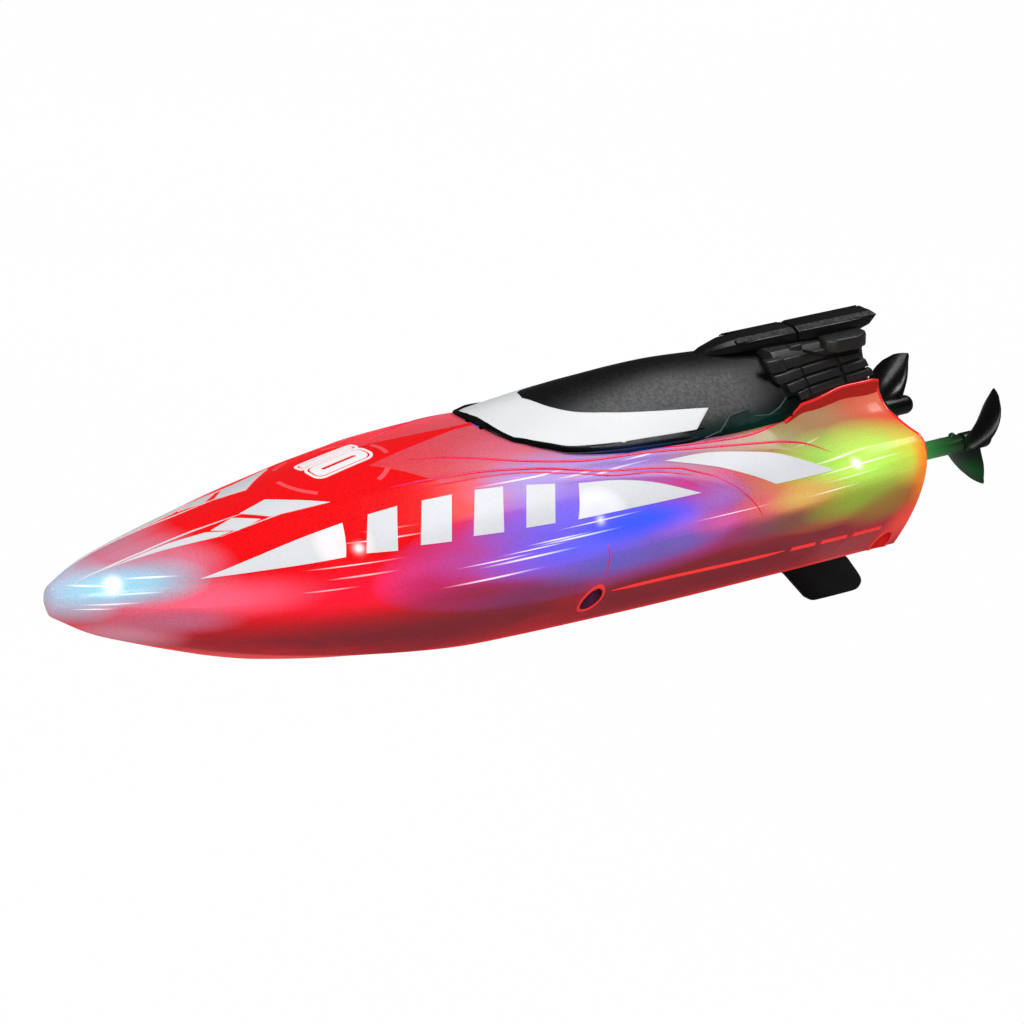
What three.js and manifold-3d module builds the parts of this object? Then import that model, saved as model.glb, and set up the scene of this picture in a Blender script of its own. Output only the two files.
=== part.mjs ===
// A twin-screw radio-controlled toy boat: two translucent hull shells, a lift-up canopy with a
// ribbed engine cowl and roof wing, two motor drives, lights, battery and radio board.
// Millimetres. The bow points to -Y, the deck up to +Z and the port side to +X.
import * as THREE from 'three';
import { mergeVertices } from 'three/addons/utils/BufferGeometryUtils.js';
import Module from 'manifold-3d';

const wasm = await Module();
wasm.setup();

// ---- Driving dimensions ----------------------------------------------------------------------
const BOW_Y = -134;
const TRANSOM_Y = 135;
const GAP = 0.3; // between pieces that touch
const WALL = 1.8; // hull shells
const PAD_HALF = 8; // half width of the flat keel pad
const SKEG_BOTTOM_Z = -23;
const SHAFT_X = 18.5; // each propeller axis, from the centreline
const SHAFT_Z = 24;
const HUB_Y = 161; // forward face of each propeller hub
const HUB_END_Y = 172;
const HUB_RADIUS = 2.9;
const BLADE_TIP = { radius: 15.3, y: 171.4, angle: 83 };
const BLADE_HELIX = 0.102; // mm aft for each degree round the hub
const BLADE_RAKE = 0.5; // mm aft for each mm of radius
const TUBE_RADIUS = 2.7;
const SHAFT_RADIUS = 1;
const RUNNING = 0.08; // radial clearance of a turning shaft
const CANOPY_NOSE_Y = -1.1;
const CANOPY_HALF = 26;
const CANOPY_REAR_Y = 96;
const COWL_REAR_Y = 133;
const WING_TAIL_Y = 136.6;
const RIGHT_ANGLE = Math.PI / 2;
const BLOCK = 12; // how far a hull block reaches past the parting line
const SIDES = [['port', 1], ['starboard', -1]];
const HULL_SCREWS = { mid: [35, 16.5, 16], stern: [24.5, 127, 8], bow: [0, -100, 17] }; // x, y, seat height
const SCREW_HEAD = 2.5;
const SCREW_SHANK = 1.4;
const SCREW_LENGTH = 20;
const POST_RADIUS = 4;
const LIP_WALL = 1.4;
const LIP_HEIGHT = 1.2;
const LIP_GAP = 0.3;
const GASKET_WALL = 1.1;
const GASKET_HEIGHT = 0.8;
const CANOPY_WALL = 1.8;
const CANOPY_FLOOR = 40; // the canopy's and cowl's blocks reach down to here before they are cut
const BAND_WALL = 0.8; // windscreen
const BAND_EDGE = 0.7; // black edge outside the windscreen
const SKIRT = 1; // black edge between the windscreen and the deck
const COWL_RIBS = 4;
const COWL_RIB_Z = 49;
const RIB_DEPTH = 1;
const SLOT_DEPTH = 0.8;
const COWL_LEAN = 0.25;
const SKEG_SCREW_Y = 99;
const MOTOR_Y = 88; // forward face of each motor can
const MOTOR_RADIUS = 10;
const MOTOR_FLAT = 7.6;
const TRAY_HALF = 18;
const TRAY_Y = [18, 74];
const TRAY_Z = 0.8;
const CELL_RADIUS = 7.2;
const BOARD_HALF = [17, 23];
const BOARD_HOLE = [14, 19];
const BOARD_MIDDLE = -31;
const BOARD_Z = 20;
const SWITCH_Y = [76.6, 81.2];
const SWITCH_Z = 28;
const SWITCH_TRAVEL = 4;
const CONTACT = [6, 85]; // x, y of each water contact
const CONTACT_RADIUS = 1.4;
const LAMP_RADIUS = 1.8;
const LAMPS = [['red', -60, 0xff3030], ['blue', 27, 0x3050ff], ['green', 113, 0x70ff40]];
const BOW_LAMP_Z = 31;

// ---- Small tools -----------------------------------------------------------------------------

/** A smooth line through [y, value] pairs that never overshoots them. */
function line(...pairs) {
  const rise = (i) => (pairs[i + 1][1] - pairs[i][1]) / (pairs[i + 1][0] - pairs[i][0]);
  const last = pairs.length - 1;
  const slopes = pairs.map((_, i) => {
    if (i === 0) return rise(0);
    if (i === last) return rise(last - 1);
    const [before, after] = [rise(i - 1), rise(i)];
    return before * after <= 0 ? 0 : (2 * before * after) / (before + after);
  });
  return (y) => {
    const at = Math.min(Math.max(y, pairs[0][0]), pairs[last][0]);
    let i = 0;
    while (i < last - 1 && at > pairs[i + 1][0]) i += 1;
    const width = pairs[i + 1][0] - pairs[i][0];
    const t = (at - pairs[i][0]) / width;
    const [t2, t3] = [t * t, t * t * t];
    return (2 * t3 - 3 * t2 + 1) * pairs[i][1] + (t3 - 2 * t2 + t) * width * slopes[i]
      + (3 * t2 - 2 * t3) * pairs[i + 1][1] + (t3 - t2) * width * slopes[i + 1];
  };
}

const mix = (a, b, t) => a + (b - a) * t;
const degrees = (angle) => (angle * Math.PI) / 180;
const steps = (from, to, count) => Array.from({ length: count + 1 }, (_, i) => mix(from, to, i / count));

/** A closed solid through rings of [x, y, z] points, with a fan over each end. */
function loft(rings) {
  const count = rings[0].length;
  const points = rings.flat();
  const faces = [];
  for (let r = 0; r < rings.length - 1; r += 1) {
    for (let k = 0; k < count; k += 1) {
      const [a, b] = [r * count + k, r * count + ((k + 1) % count)];
      faces.push([a, b, b + count], [a, b + count, a + count]);
    }
  }
  [0, rings.length - 1].forEach((r) => {
    const centre = [0, 1, 2].map((axis) => rings[r].reduce((sum, p) => sum + p[axis], 0) / count);
    points.push(centre);
    for (let k = 0; k < count; k += 1) {
      const edge = [r * count + k, r * count + ((k + 1) % count)];
      if (r > 0) edge.reverse();
      faces.push([points.length - 1, edge[1], edge[0]]);
    }
  });
  const volume = faces.reduce((sum, face) => {
    const [a, b, c] = face.map((i) => new THREE.Vector3(...points[i]));
    return sum + a.dot(b.cross(c));
  }, 0);
  if (volume < 0) faces.forEach((face) => face.reverse());
  const geometry = new THREE.BufferGeometry();
  geometry.setAttribute('position', new THREE.Float32BufferAttribute(points.flat(), 3));
  geometry.setIndex(faces.flat());
  return geometry;
}

/** A geometry as a solid that can be joined and cut. */
function solid(geometry) {
  const plain = new THREE.BufferGeometry();
  plain.setAttribute('position', geometry.getAttribute('position'));
  plain.setIndex(geometry.getIndex());
  const merged = mergeVertices(plain, 1e-4);
  const index = merged.getIndex().array;
  const kept = [];
  for (let i = 0; i < index.length; i += 3) {
    const [a, b, c] = [index[i], index[i + 1], index[i + 2]];
    if (a !== b && b !== c && c !== a) kept.push(a, b, c);
  }
  const vertProperties = new Float32Array(merged.getAttribute('position').array);
  return new wasm.Manifold(new wasm.Mesh({ numProp: 3, vertProperties, triVerts: new Uint32Array(kept) }));
}

/** A solid as a geometry again. */
function shape(body) {
  const { vertProperties, triVerts } = body.getMesh();
  const geometry = new THREE.BufferGeometry();
  geometry.setAttribute('position', new THREE.BufferAttribute(vertProperties, 3));
  geometry.setIndex(new THREE.BufferAttribute(triVerts, 1));
  geometry.computeVertexNormals();
  return geometry;
}

const box = (x0, x1, y0, y1, z0, z1) => new THREE.BoxGeometry(x1 - x0, y1 - y0, z1 - z0)
  .translate((x0 + x1) / 2, (y0 + y1) / 2, (z0 + z1) / 2);

/** An upright prism over a plan outline of [x, y] points. */
function prism(outline, z0, z1) {
  const plan = new THREE.Shape(outline.map(([x, y]) => new THREE.Vector2(x, y)));
  return new THREE.ExtrudeGeometry(plan, { depth: z1 - z0, bevelEnabled: false }).translate(0, 0, z0);
}

/** A prism along Y over an [x, z] outline. */
function sidePrism(outline, y0, y1) {
  const face = new THREE.Shape(outline.map(([x, z]) => new THREE.Vector2(x, -z)));
  return new THREE.ExtrudeGeometry(face, { depth: y1 - y0, bevelEnabled: false })
    .rotateX(-RIGHT_ANGLE).translate(0, y0, 0);
}

/** A turned piece along +Y from [radius, y] points. */
const turned = (profile, x, z, sides = 14) => new THREE.LatheGeometry(
  profile.map(([radius, y]) => new THREE.Vector2(radius, y)), sides).translate(x, 0, z);

/** A turned piece along +Z from [radius, z] points. */
const upright = (profile, x, y, sides = 10) => new THREE.LatheGeometry(
  profile.map(([radius, z]) => new THREE.Vector2(radius, z)), sides)
  .rotateX(RIGHT_ANGLE).translate(x, y, 0);

/** The outline of a pin from one end to the other, for a turned piece. */
const pin = (radius, from, to) => [[0, from], [radius, from], [radius, to], [0, to]];

/** The closed outline of a sleeve, for a turned piece. */
const sleeve = (inner, outer, from, to) => [
  [inner, from], [outer, from], [outer, to], [inner, to], [inner, from]];

/** A half outline that starts and ends on the centreline, carried round to the other side of it. */
const mirrored = (half) => [...half, ...half.slice(1, -1).reverse().map(([x, v]) => [-x, v])];

// ---- Hull lines ------------------------------------------------------------------------------
const halfBeam = line([-134, 2.8], [-124, 10], [-112, 16], [-85, 28], [-66, 34.8], [-45, 39], [-15, 41.8],
  [15, 42.3], [68, 42], [102, 40.2], [135, 36]);
const beamZ = line([-134, 31], [-100, 29.3], [-48, 27.2], [0, 26.3], [68, 26.3], [110, 27], [135, 28]);
const crownZ = line([-134, 35.4], [-122, 39.9], [-103, 43.8], [-88, 46], [-63, 49.7], [-48, 52], [-25, 54.3],
  [0, 55.4], [36, 54], [72, 51.2], [107, 49]);
const keelZ = line([-134, 27.6], [-122, 20.4], [-112, 16.6], [-100, 12.4], [-75, 4.7], [-40, -1.6], [0, -4.9],
  [30, -5.4], [135, -5.4]);
const chineX = line([-134, 1.4], [-121, 5.5], [-112, 9.5], [-91, 16.5], [-63, 22.5], [-30, 25.5], [26, 26],
  [90, 24.3], [135, 22.3]);
const chineZ = line([-134, 28.2], [-121, 22.8], [-112, 19.6], [-91, 13.4], [-63, 7.9], [-40, 4.4], [-15, 1.8],
  [26, 0.8], [68, 0], [135, -0.8]);
// The two styling creases along each side of the deck, as angles round the deck's oval section.
const upperCrease = line([-30, 72], [-10, 62], [10, 50], [60, 46], [80, 41], [103, 24], [135, 24]);
const lowerCrease = line([-45, 60], [-16, 54], [9, 46], [40, 37], [62, 22], [70, 12], [135, 12]);
// How far the deck has turned from its oval section into the stern's rim and shoulders.
const sternBlend = line([84, 0], [96, 0.16], [112, 0.72], [128, 1]);
const PANEL_DEPTH = line([-45, 0], [10, 0.2], [45, 0.8], [85, 0.8], [110, 0]);
// The transom's deck outline, [x, z], from the widest point up to the rim round the cowl.
const STERN_DECK = [[36, 28], [35.8, 30], [35.3, 31.9], [34.2, 34.4], [32.3, 35.7], [26.1, 36.8],
  [17.5, 39.2], [14.2, 41.6], [11.8, 45.6], [0, 46.2]];

/** Half the deck's section at y, [x, z] from the widest point to the centreline. */
function deckHalf(y) {
  const [beam, base, crown] = [halfBeam(y), beamZ(y), crownZ(y)];
  const [low, high] = [lowerCrease(y), upperCrease(y)];
  const angles = [0, low / 2, low, (low + high) / 2, high, mix(high, 90, 0.25), mix(high, 90, 0.48),
    mix(high, 90, 0.56), mix(high, 90, 0.68), 90];
  const blend = sternBlend(y);
  return angles.map((angle, i) => {
    const sunk = i === 3 ? PANEL_DEPTH(y) : 0;
    const x = (beam - sunk) * Math.cos(degrees(angle));
    const z = base + (crown - base - sunk) * Math.sin(degrees(angle));
    return [mix(x, STERN_DECK[i][0], blend), mix(z, STERN_DECK[i][1], blend)];
  });
}

/** Half the bottom's section at y, [x, z] from the keel to the widest point. */
function bottomHalf(y) {
  const [beam, base, x, z] = [halfBeam(y), beamZ(y), chineX(y), chineZ(y)];
  const pad = Math.min(PAD_HALF, x * 0.5);
  const side = steps(0, 1, 5).map((t) => [
    mix(mix(x, beam * 0.985, t), mix(beam * 0.985, beam, t), t),
    mix(mix(z, mix(z, base, 0.6), t), mix(mix(z, base, 0.6), base, t), t)]);
  return [[0, keelZ(y)], [pad, keelZ(y)], ...side];
}

/** A half section moved along its own normals, outwards where distance is positive. */
function offset(half, distance) {
  return half.map(([x, z], i) => {
    const before = half[Math.max(i - 1, 0)];
    const after = half[Math.min(i + 1, half.length - 1)];
    let [nx, nz] = [after[1] - before[1], before[0] - after[0]];
    if (x === 0) [nx, nz] = [0, Math.sign(nz)];
    const length = Math.hypot(nx, nz);
    return [x === 0 ? 0 : Math.max(x + (nx / length) * distance, 0.05), z + (nz / length) * distance];
  });
}

/** A closed section ring at y from a half section that ends on the centreline. */
const ring = (half, y) => mirrored(half).map(([x, z]) => [x, y, z]);

const HULL_STATIONS = [BOW_Y, -130, -122, -112, -100, -84, -66, -46, -24, 0, 24, 46, 60, 70, 84, 96, 104, 112,
  122, TRANSOM_Y];

/** The stations of a loft from y0 to y1. */
const stationsBetween = (y0, y1) => [y0, ...HULL_STATIONS.filter((y) => y > y0 + 0.5 && y < y1 - 0.5), y1];

/** The solid under the deck's surface, moved outwards by raise, down to well below the widest line. */
const underDeck = (raise, y0 = BOW_Y, y1 = TRANSOM_Y) => solid(loft(stationsBetween(y0, y1).map((y) => {
  const half = offset(deckHalf(y), raise);
  return ring([[0, beamZ(y) - BLOCK], [half[0][0], beamZ(y) - BLOCK], ...half], y);
})));

/** The solid over the bottom's surface, moved inwards by inset, up to well above the widest line. */
const overBottom = (inset, y0 = BOW_Y, y1 = TRANSOM_Y) => solid(loft(stationsBetween(y0, y1).map((y) => {
  const half = offset(bottomHalf(y), -inset);
  const [edge] = half[half.length - 1];
  return ring([...half, [edge, beamZ(y) + BLOCK], [0, beamZ(y) + BLOCK]], y);
})));

/** A slab that follows the parting line, from rise over it to a far edge above or below. */
const partingSlab = (rise, far) => solid(loft(stationsBetween(BOW_Y - 4, TRANSOM_Y + 4).map((y) => (
  [[-60, y, beamZ(y) + rise], [60, y, beamZ(y) + rise], [60, y, far], [-60, y, far]]))));

/** A plan outline moved inwards along its own normals. */
function inset(outline, distance) {
  return outline.map(([x, y], i) => {
    const [px, py] = outline[(i + outline.length - 1) % outline.length];
    const [qx, qy] = outline[(i + 1) % outline.length];
    const before = new THREE.Vector2(x - px, y - py).normalize();
    const after = new THREE.Vector2(qx - x, qy - y).normalize();
    const along = before.clone().add(after).normalize();
    const reach = distance / Math.sqrt((1 + before.dot(after)) / 2);
    return [x - along.y * reach, y + along.x * reach];
  });
}

const joined = (bodies) => bodies.reduce((whole, body) => whole.add(body));

// ---- Hull shells -----------------------------------------------------------------------------
const HATCH = mirrored([[0, 18], [8, 19.5], [13, 24], [16, 31], [16.5, 38], [16.5, 76], [14.5, 86], [12, 90],
  [0, 90]]);
const TONGUE_SLOT = box(-5.5, 5.5, 0, 8, 45, 64);
const screwPlaces = Object.entries(HULL_SCREWS).flatMap(([name, [x, y, seat]]) => (x === 0
  ? [[`${name}_hull_screw`, x, y, seat]]
  : [[`port_${name}_hull_screw`, x, y, seat], [`starboard_${name}_hull_screw`, -x, y, seat]]));

const post = (x, y, z0, z1, radius) => solid(upright(pin(radius, z0, z1), x, y));
const shaftBore = (x, radius, y0, y1) => solid(turned(pin(radius, y0, y1), x, SHAFT_Z));

function lowerHull() {
  const outer = overBottom(0);
  const cavity = overBottom(WALL, BOW_Y + 9, TRANSOM_Y - WALL);
  const boardPosts = [[1, 1], [1, -1], [-1, 1], [-1, -1]].map(([sx, sy]) => post(
    sx * BOARD_HOLE[0], BOARD_MIDDLE + sy * BOARD_HOLE[1], -8, BOARD_Z - GAP, 2.2));
  const screwPosts = screwPlaces.map(([, x, y]) => post(x, y, -8, 40, POST_RADIUS));
  const glands = SIDES.map(([, side]) => shaftBore(side * SHAFT_X, TUBE_RADIUS + 2, 128, TRANSOM_Y - 1));
  const shell = outer.subtract(cavity).add(joined([...boardPosts, ...screwPosts, ...glands]).intersect(outer));
  const recesses = screwPlaces.map(([, x, y, seat]) => post(x, y, -12, seat, SCREW_HEAD + GAP));
  const pilots = screwPlaces.map(([, x, y, seat]) => post(x, y, seat - 1, 60, SCREW_SHANK + GAP));
  const bores = SIDES.map(([, side]) => shaftBore(side * SHAFT_X, TUBE_RADIUS + GAP, 120, TRANSOM_Y + 2));
  const skegBoss = post(0, SKEG_SCREW_Y, -8, 2, 3.4).intersect(outer);
  const skegPilot = post(0, SKEG_SCREW_Y, -9, 0.4, SCREW_SHANK + GAP);
  const contacts = SIDES.map(([, side]) => post(side * CONTACT[0], CONTACT[1], -9, 0, CONTACT_RADIUS + GAP));
  return shell.add(skegBoss).subtract(joined([...recesses, ...pilots, ...bores, ...contacts, skegPilot]))
    .subtract(partingSlab(-GAP / 2, 90));
}

function upperDeck() {
  const outer = underDeck(0);
  const cavity = underDeck(-WALL, BOW_Y + 9, TRANSOM_Y - WALL);
  const screwPosts = screwPlaces.map(([, x, y]) => post(x, y, 0, 60, POST_RADIUS - 0.6));
  const pilots = screwPlaces.map(([, x, y, seat]) => post(x, y, 0, seat + SCREW_LENGTH + 2, SCREW_SHANK + GAP));
  const opening = solid(prism(HATCH, 20, 80));
  const lip = solid(prism(inset(HATCH, -0.05), 20, 80)).subtract(solid(prism(inset(HATCH, LIP_WALL), 19, 81)));
  const lipZone = underDeck(LIP_HEIGHT).subtract(underDeck(-WALL - 1, BOW_Y + 9, TRANSOM_Y - WALL));
  return outer.subtract(cavity).add(joined(screwPosts).intersect(outer)).subtract(joined(pilots))
    .subtract(partingSlab(GAP / 2, -40)).subtract(opening).add(lip.intersect(lipZone))
    .subtract(solid(TONGUE_SLOT));
}

function hatchGasket() {
  const around = solid(prism(inset(HATCH, -LIP_GAP - GASKET_WALL), 20, 80));
  const within = solid(prism(inset(HATCH, -LIP_GAP), 19, 81));
  return around.subtract(within).intersect(underDeck(GASKET_HEIGHT).subtract(underDeck(GAP)));
}

// ---- Canopy, windscreen, cowl and wing -------------------------------------------------------
const canopyPlan = line([30, CANOPY_HALF], [66, 26], [80, 25.3], [90, 23.6], [96, 21.4]);
const canopySill = line([-1, 55.4], [4, 54], [11, 51.6], [36, 49.2], [62, 47.6], [96, 47.4]);
const canopyRoof = line([-1, 56], [4, 57.2], [16, 59.4], [33, 61.6], [60, 63], [78, 62], [96, 60.4]);
const NOSE_LENGTH = 34;
const CANOPY_STATIONS = [-1, -0.4, 0.8, 3, 6, 10, 16, 23, 30, 42, 54, 66, 78, 88, CANOPY_REAR_Y];

/** Half the canopy's width at y: an oval nose, then a line that draws in towards the stern. */
function canopyHalfWidth(y) {
  const back = CANOPY_NOSE_Y + NOSE_LENGTH;
  if (y >= back) return canopyPlan(y);
  return CANOPY_HALF * Math.sqrt(1 - ((back - y) / NOSE_LENGTH) ** 2);
}

/** The canopy's outer solid moved outwards by raise, down through the deck. */
function canopyBlock(raise, y0, y1) {
  const stations = [y0, ...CANOPY_STATIONS.filter((y) => y > y0 + 0.5 && y < y1 - 0.5), y1];
  return solid(loft(stations.map((y) => {
    const [width, sill, roof] = [canopyHalfWidth(y), canopySill(y), canopyRoof(y)];
    const crown = [0.94, 0.84, 0.7, 0.52, 0.34, 0.16, 0].map((u) => (
      [u * width, sill + (roof - sill) * (1 - u ** 1.65)]));
    return ring(offset([[width, CANOPY_FLOOR], [width, sill], ...crown], raise), y);
  })));
}

/** The windscreen's plan: a band round the nose and both sides, open behind the roof's front tip. */
const bandPlan = (margin) => {
  const sides = [6, 12, 20, 30, 44, 58].map((y) => [canopyHalfWidth(y) - BAND_EDGE + margin, y]);
  return mirrored([[0, -8], [17, -8], [21, 3], ...sides, [25.2 + margin, 60 + margin],
    [20 - margin, 67.2 + 2 * margin], [18 - margin, 49], [16 - margin, 37], [12.6 - margin, 26.5],
    [7.5 - margin, 20.5 + margin], [0, 17 + margin]]);
};

function canopy() {
  const shell = canopyBlock(0, -1, CANOPY_REAR_Y)
    .subtract(canopyBlock(-CANOPY_WALL, 1.6, CANOPY_REAR_Y - 2.4))
    .subtract(underDeck(GAP));
  const pocket = canopyBlock(1, -1, 80).subtract(canopyBlock(-BAND_WALL - GAP, 0.2, 80))
    .intersect(solid(prism(bandPlan(GAP), 20, 80))).subtract(underDeck(GAP + SKIRT));
  const tongue = solid(box(-4.5, 4.5, 0.4, 3.4, 51, 60)).intersect(canopyBlock(-0.5, -0.5, 40))
    .add(solid(box(-4.5, 4.5, -9, 3.4, 51, 52.5)));
  return shell.add(tongue).subtract(pocket);
}

function windscreen() {
  return canopyBlock(0, -1, 80).subtract(canopyBlock(-BAND_WALL, 0.5, 80))
    .intersect(solid(prism(bandPlan(0), 20, 80))).subtract(underDeck(2 * GAP + SKIRT));
}

const cowlFoot = line([96, 20.6], [107, 15], [120, 12.3], [133, 10.8]);
const cowlSide = line([96, 17.5], [107, 13.8], [133, 9.6]);
const cowlTop = line([96, 12.5], [133, 7]);
const cowlRoof = line([96, 61.4], [115, 60.4], [133, 58]);

/** The cowl's outer solid, with ribs along its sides. */
function cowlBlock() {
  const [y0, y1] = [CANOPY_REAR_Y + GAP, COWL_REAR_Y];
  return solid(loft([y0, 101, 107, 113, 120, 127, y1].map((y) => {
    const roof = cowlRoof(y);
    const low = COWL_RIB_Z;
    const ribs = steps(0, 1, COWL_RIBS).slice(0, -1).flatMap((t) => {
      const at = (u, depth) => [mix(cowlSide(y), cowlTop(y), u) - depth, mix(low, roof - 2, u)];
      const [bottom, top, next] = [t, t + 0.72 / COWL_RIBS, t + 1 / COWL_RIBS];
      return [at(bottom, 0), at(top, 0), at(top + 0.02, RIB_DEPTH), at(next - 0.02, RIB_DEPTH)];
    });
    const lean = y === y1 ? COWL_LEAN : 0;
    const half = [[cowlFoot(y), CANOPY_FLOOR], [cowlFoot(y), low - 0.6], ...ribs,
      [cowlTop(y), roof - 2], [cowlTop(y) - 2.5, roof], [0, roof]];
    return ring(half, y).map(([x, at, z]) => [x, at - lean * Math.max(z - low, 0), z]);
  })));
}

/** A plain solid inside the cowl's ribbed surface, depth below it. */
const cowlCore = (depth, y0, y1) => solid(loft([y0, 107, 113, 120, 127, y1].map((y) => {
  const [side, top, roof] = [cowlSide(y) - depth, cowlTop(y) - depth, cowlRoof(y) - depth];
  return ring([[0, CANOPY_FLOOR - 1], [side, CANOPY_FLOOR - 1], [side, COWL_RIB_Z], [top, roof - 1.8],
    [top - 2.3, roof], [0, roof]], y);
})));

function engineCowl() {
  const cavity = cowlCore(2.8, CANOPY_REAR_Y + 2.4, COWL_REAR_Y - 5);
  const slots = [108.4, 121.7].map((y) => solid(box(-30, 30, y, y + 0.9, COWL_RIB_Z + 0.1, 80))
    .subtract(cowlCore(SLOT_DEPTH, CANOPY_REAR_Y, COWL_REAR_Y + 1)));
  return cowlBlock().subtract(cavity).subtract(joined(slots)).subtract(underDeck(GAP));
}

function cowlPod(side) {
  const outline = [[5, 117], [10.5, 117], [11.6, 121], [11.2, 128], [9, 131.6], [5, 131.6]]
    .map(([x, y]) => [x * side, y]);
  if (side < 0) outline.reverse();
  return solid(prism(outline, 57.2, 61.6)).subtract(cowlCore(-GAP, CANOPY_REAR_Y, COWL_REAR_Y + 1))
    .subtract(wingBlock(GAP));
}

/** The roof wing's outer solid: a six-sided bar that rises from the roof and ends in a swept tail. */
function wingBlock(raise) {
  const stations = [[75, 1.2, 59, 61.6], [81, 3, 59, 63.4], [87, 4.6, 59, 64.6], [97, 5.2, 59, 65],
    [134, 5.2, 59, 65], [WING_TAIL_Y, 4.3, 59, 65]];
  return solid(loft(stations.map(([y, half, low, top]) => {
    const tail = y === WING_TAIL_Y ? 1 : 0;
    const outline = [[0, low, -6], [half * 0.7, low, -6], [half, mix(low, top, 0.3), -2],
      [half * 0.96, mix(low, top, 0.8), 2.8], [half * 0.5, top, 1.4], [0, top, 1.4]];
    const moved = offset(outline.map(([x, z]) => [x, z]), raise);
    return ring(moved, y).map((point, i) => {
      const k = i < outline.length ? i : 2 * outline.length - 2 - i;
      return [point[0], point[1] + tail * outline[k][2], point[2]];
    });
  })));
}

function roofWing() {
  const seam = solid(box(-20, 20, 107, 108, 55, 75)).subtract(solid(box(-7.4, 7.4, 106, 109, 54, 66.6)));
  return wingBlock(0).subtract(seam).subtract(canopyBlock(GAP, -1, CANOPY_REAR_Y + GAP))
    .subtract(cowlCore(-GAP, CANOPY_REAR_Y - 1, COWL_REAR_Y + 1));
}

// ---- Skeg and drives -------------------------------------------------------------------------
function skeg() {
  const blade = [[104, -7], [111, -13], [118.5, -21.6], [121, SKEG_BOTTOM_Z], [136, SKEG_BOTTOM_Z],
    [138.6, -22.2], [139.4, -20], [133.8, -12], [129, -7]];
  const face = new THREE.Shape(blade.map(([y, z]) => new THREE.Vector2(y, z)));
  const fin = new THREE.ExtrudeGeometry(face, { depth: 3, bevelEnabled: false })
    .rotateX(RIGHT_ANGLE).rotateZ(RIGHT_ANGLE).translate(-1.5, 0, 0);
  const foot = box(-5, 5, SKEG_SCREW_Y - 4, 130, keelZ(120) - 2, keelZ(120) - GAP);
  return solid(fin).add(solid(foot)).subtract(post(0, SKEG_SCREW_Y, -30, 0, SCREW_SHANK + GAP));
}

/** One wide propeller blade: part of a helical surface that leans aft towards its tip. */
function blade(side) {
  // Radius, the angles of the leading and trailing edges, and thickness of each section.
  const sections = [[2.2, 52, 112, 1.8], [3.8, 30, 106, 1.6], [5.6, 8, 102, 1.4], [8.4, 4, 97, 1.2],
    [11, 14, 92, 1], [13.2, 28, 88, 0.9], [14.9, 46, 86, 0.8], [15.6, 66, 84, 0.6]];
  return loft(sections.map(([radius, lead, trail, thickness]) => {
    const face = (half) => steps(lead, trail, 4).map((angle, i) => {
      const y = BLADE_TIP.y + BLADE_HELIX * (angle - BLADE_TIP.angle)
        + BLADE_RAKE * (radius - BLADE_TIP.radius) + half * (i % 4 === 0 ? 0.4 : 1);
      return [side * radius * Math.cos(degrees(angle)), y, radius * Math.sin(degrees(angle))];
    });
    return [...face(-thickness / 2), ...face(thickness / 2).reverse()];
  }));
}

function propeller(side) {
  const hub = turned([[0, HUB_Y], [HUB_RADIUS, HUB_Y], [HUB_RADIUS, HUB_END_Y - 2.4],
    [HUB_RADIUS * 0.87, HUB_END_Y - 1], [HUB_RADIUS * 0.5, HUB_END_Y - 0.2], [0, HUB_END_Y]], 0, 0);
  const bore = turned(pin(SHAFT_RADIUS + GAP, HUB_Y - 1, HUB_END_Y - 2.5), 0, 0, 12);
  const blades = [0, Math.PI].map((turn) => solid(blade(side).rotateY(turn)));
  return solid(hub).add(joined(blades)).subtract(solid(bore)).translate(side * SHAFT_X, 0, SHAFT_Z);
}

const motorOutline = (grow) => {
  const [radius, flat] = [MOTOR_RADIUS + grow, MOTOR_FLAT + grow];
  const from = Math.asin(flat / radius);
  const right = steps(-from, from, 8).map((a) => [radius * Math.cos(a), radius * Math.sin(a)]);
  return [...right, ...right.map(([x, z]) => [-x, -z])];
};
const motorPrism = (side, grow, y0, y1) => sidePrism(motorOutline(grow), y0, y1)
  .translate(side * SHAFT_X, 0, SHAFT_Z);

function motorCan(side) {
  const nose = turned(pin(3, 108.5, 110), side * SHAFT_X, SHAFT_Z);
  const bore = turned(pin(SHAFT_RADIUS + RUNNING, 104, 112), side * SHAFT_X, SHAFT_Z);
  return solid(motorPrism(side, 0, MOTOR_Y, 109)).add(solid(nose)).subtract(solid(bore));
}

function motorEndCap(side) {
  const boss = solid(turned(pin(2.6, MOTOR_Y - 6.4, MOTOR_Y - 4), side * SHAFT_X, SHAFT_Z));
  const tabs = [-1, 1].map((end) => solid(box(-0.4, 0.4, MOTOR_Y - 8, MOTOR_Y - 3, -1.2, 1.2)
    .translate(side * SHAFT_X + end * 6.4, 0, SHAFT_Z)));
  return solid(motorPrism(side, -0.6, MOTOR_Y - 4.6, MOTOR_Y - GAP)).add(boss).add(joined(tabs));
}

function motorMount() {
  const block = solid(box(-28, 28, 92, 104, 7.5, SHAFT_Z - 1));
  const beds = SIDES.map(([, side]) => solid(motorPrism(side, GAP, 90, 106)));
  const relief = SIDES.map(([, side]) => solid(box(-6, 6, 94, 102, 0, 15).translate(side * SHAFT_X, 0, 0)));
  return block.subtract(joined([...beds, ...relief, solid(box(-6, 6, 90, 106, 14, 30))]))
    .intersect(overBottom(WALL + GAP));
}

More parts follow.
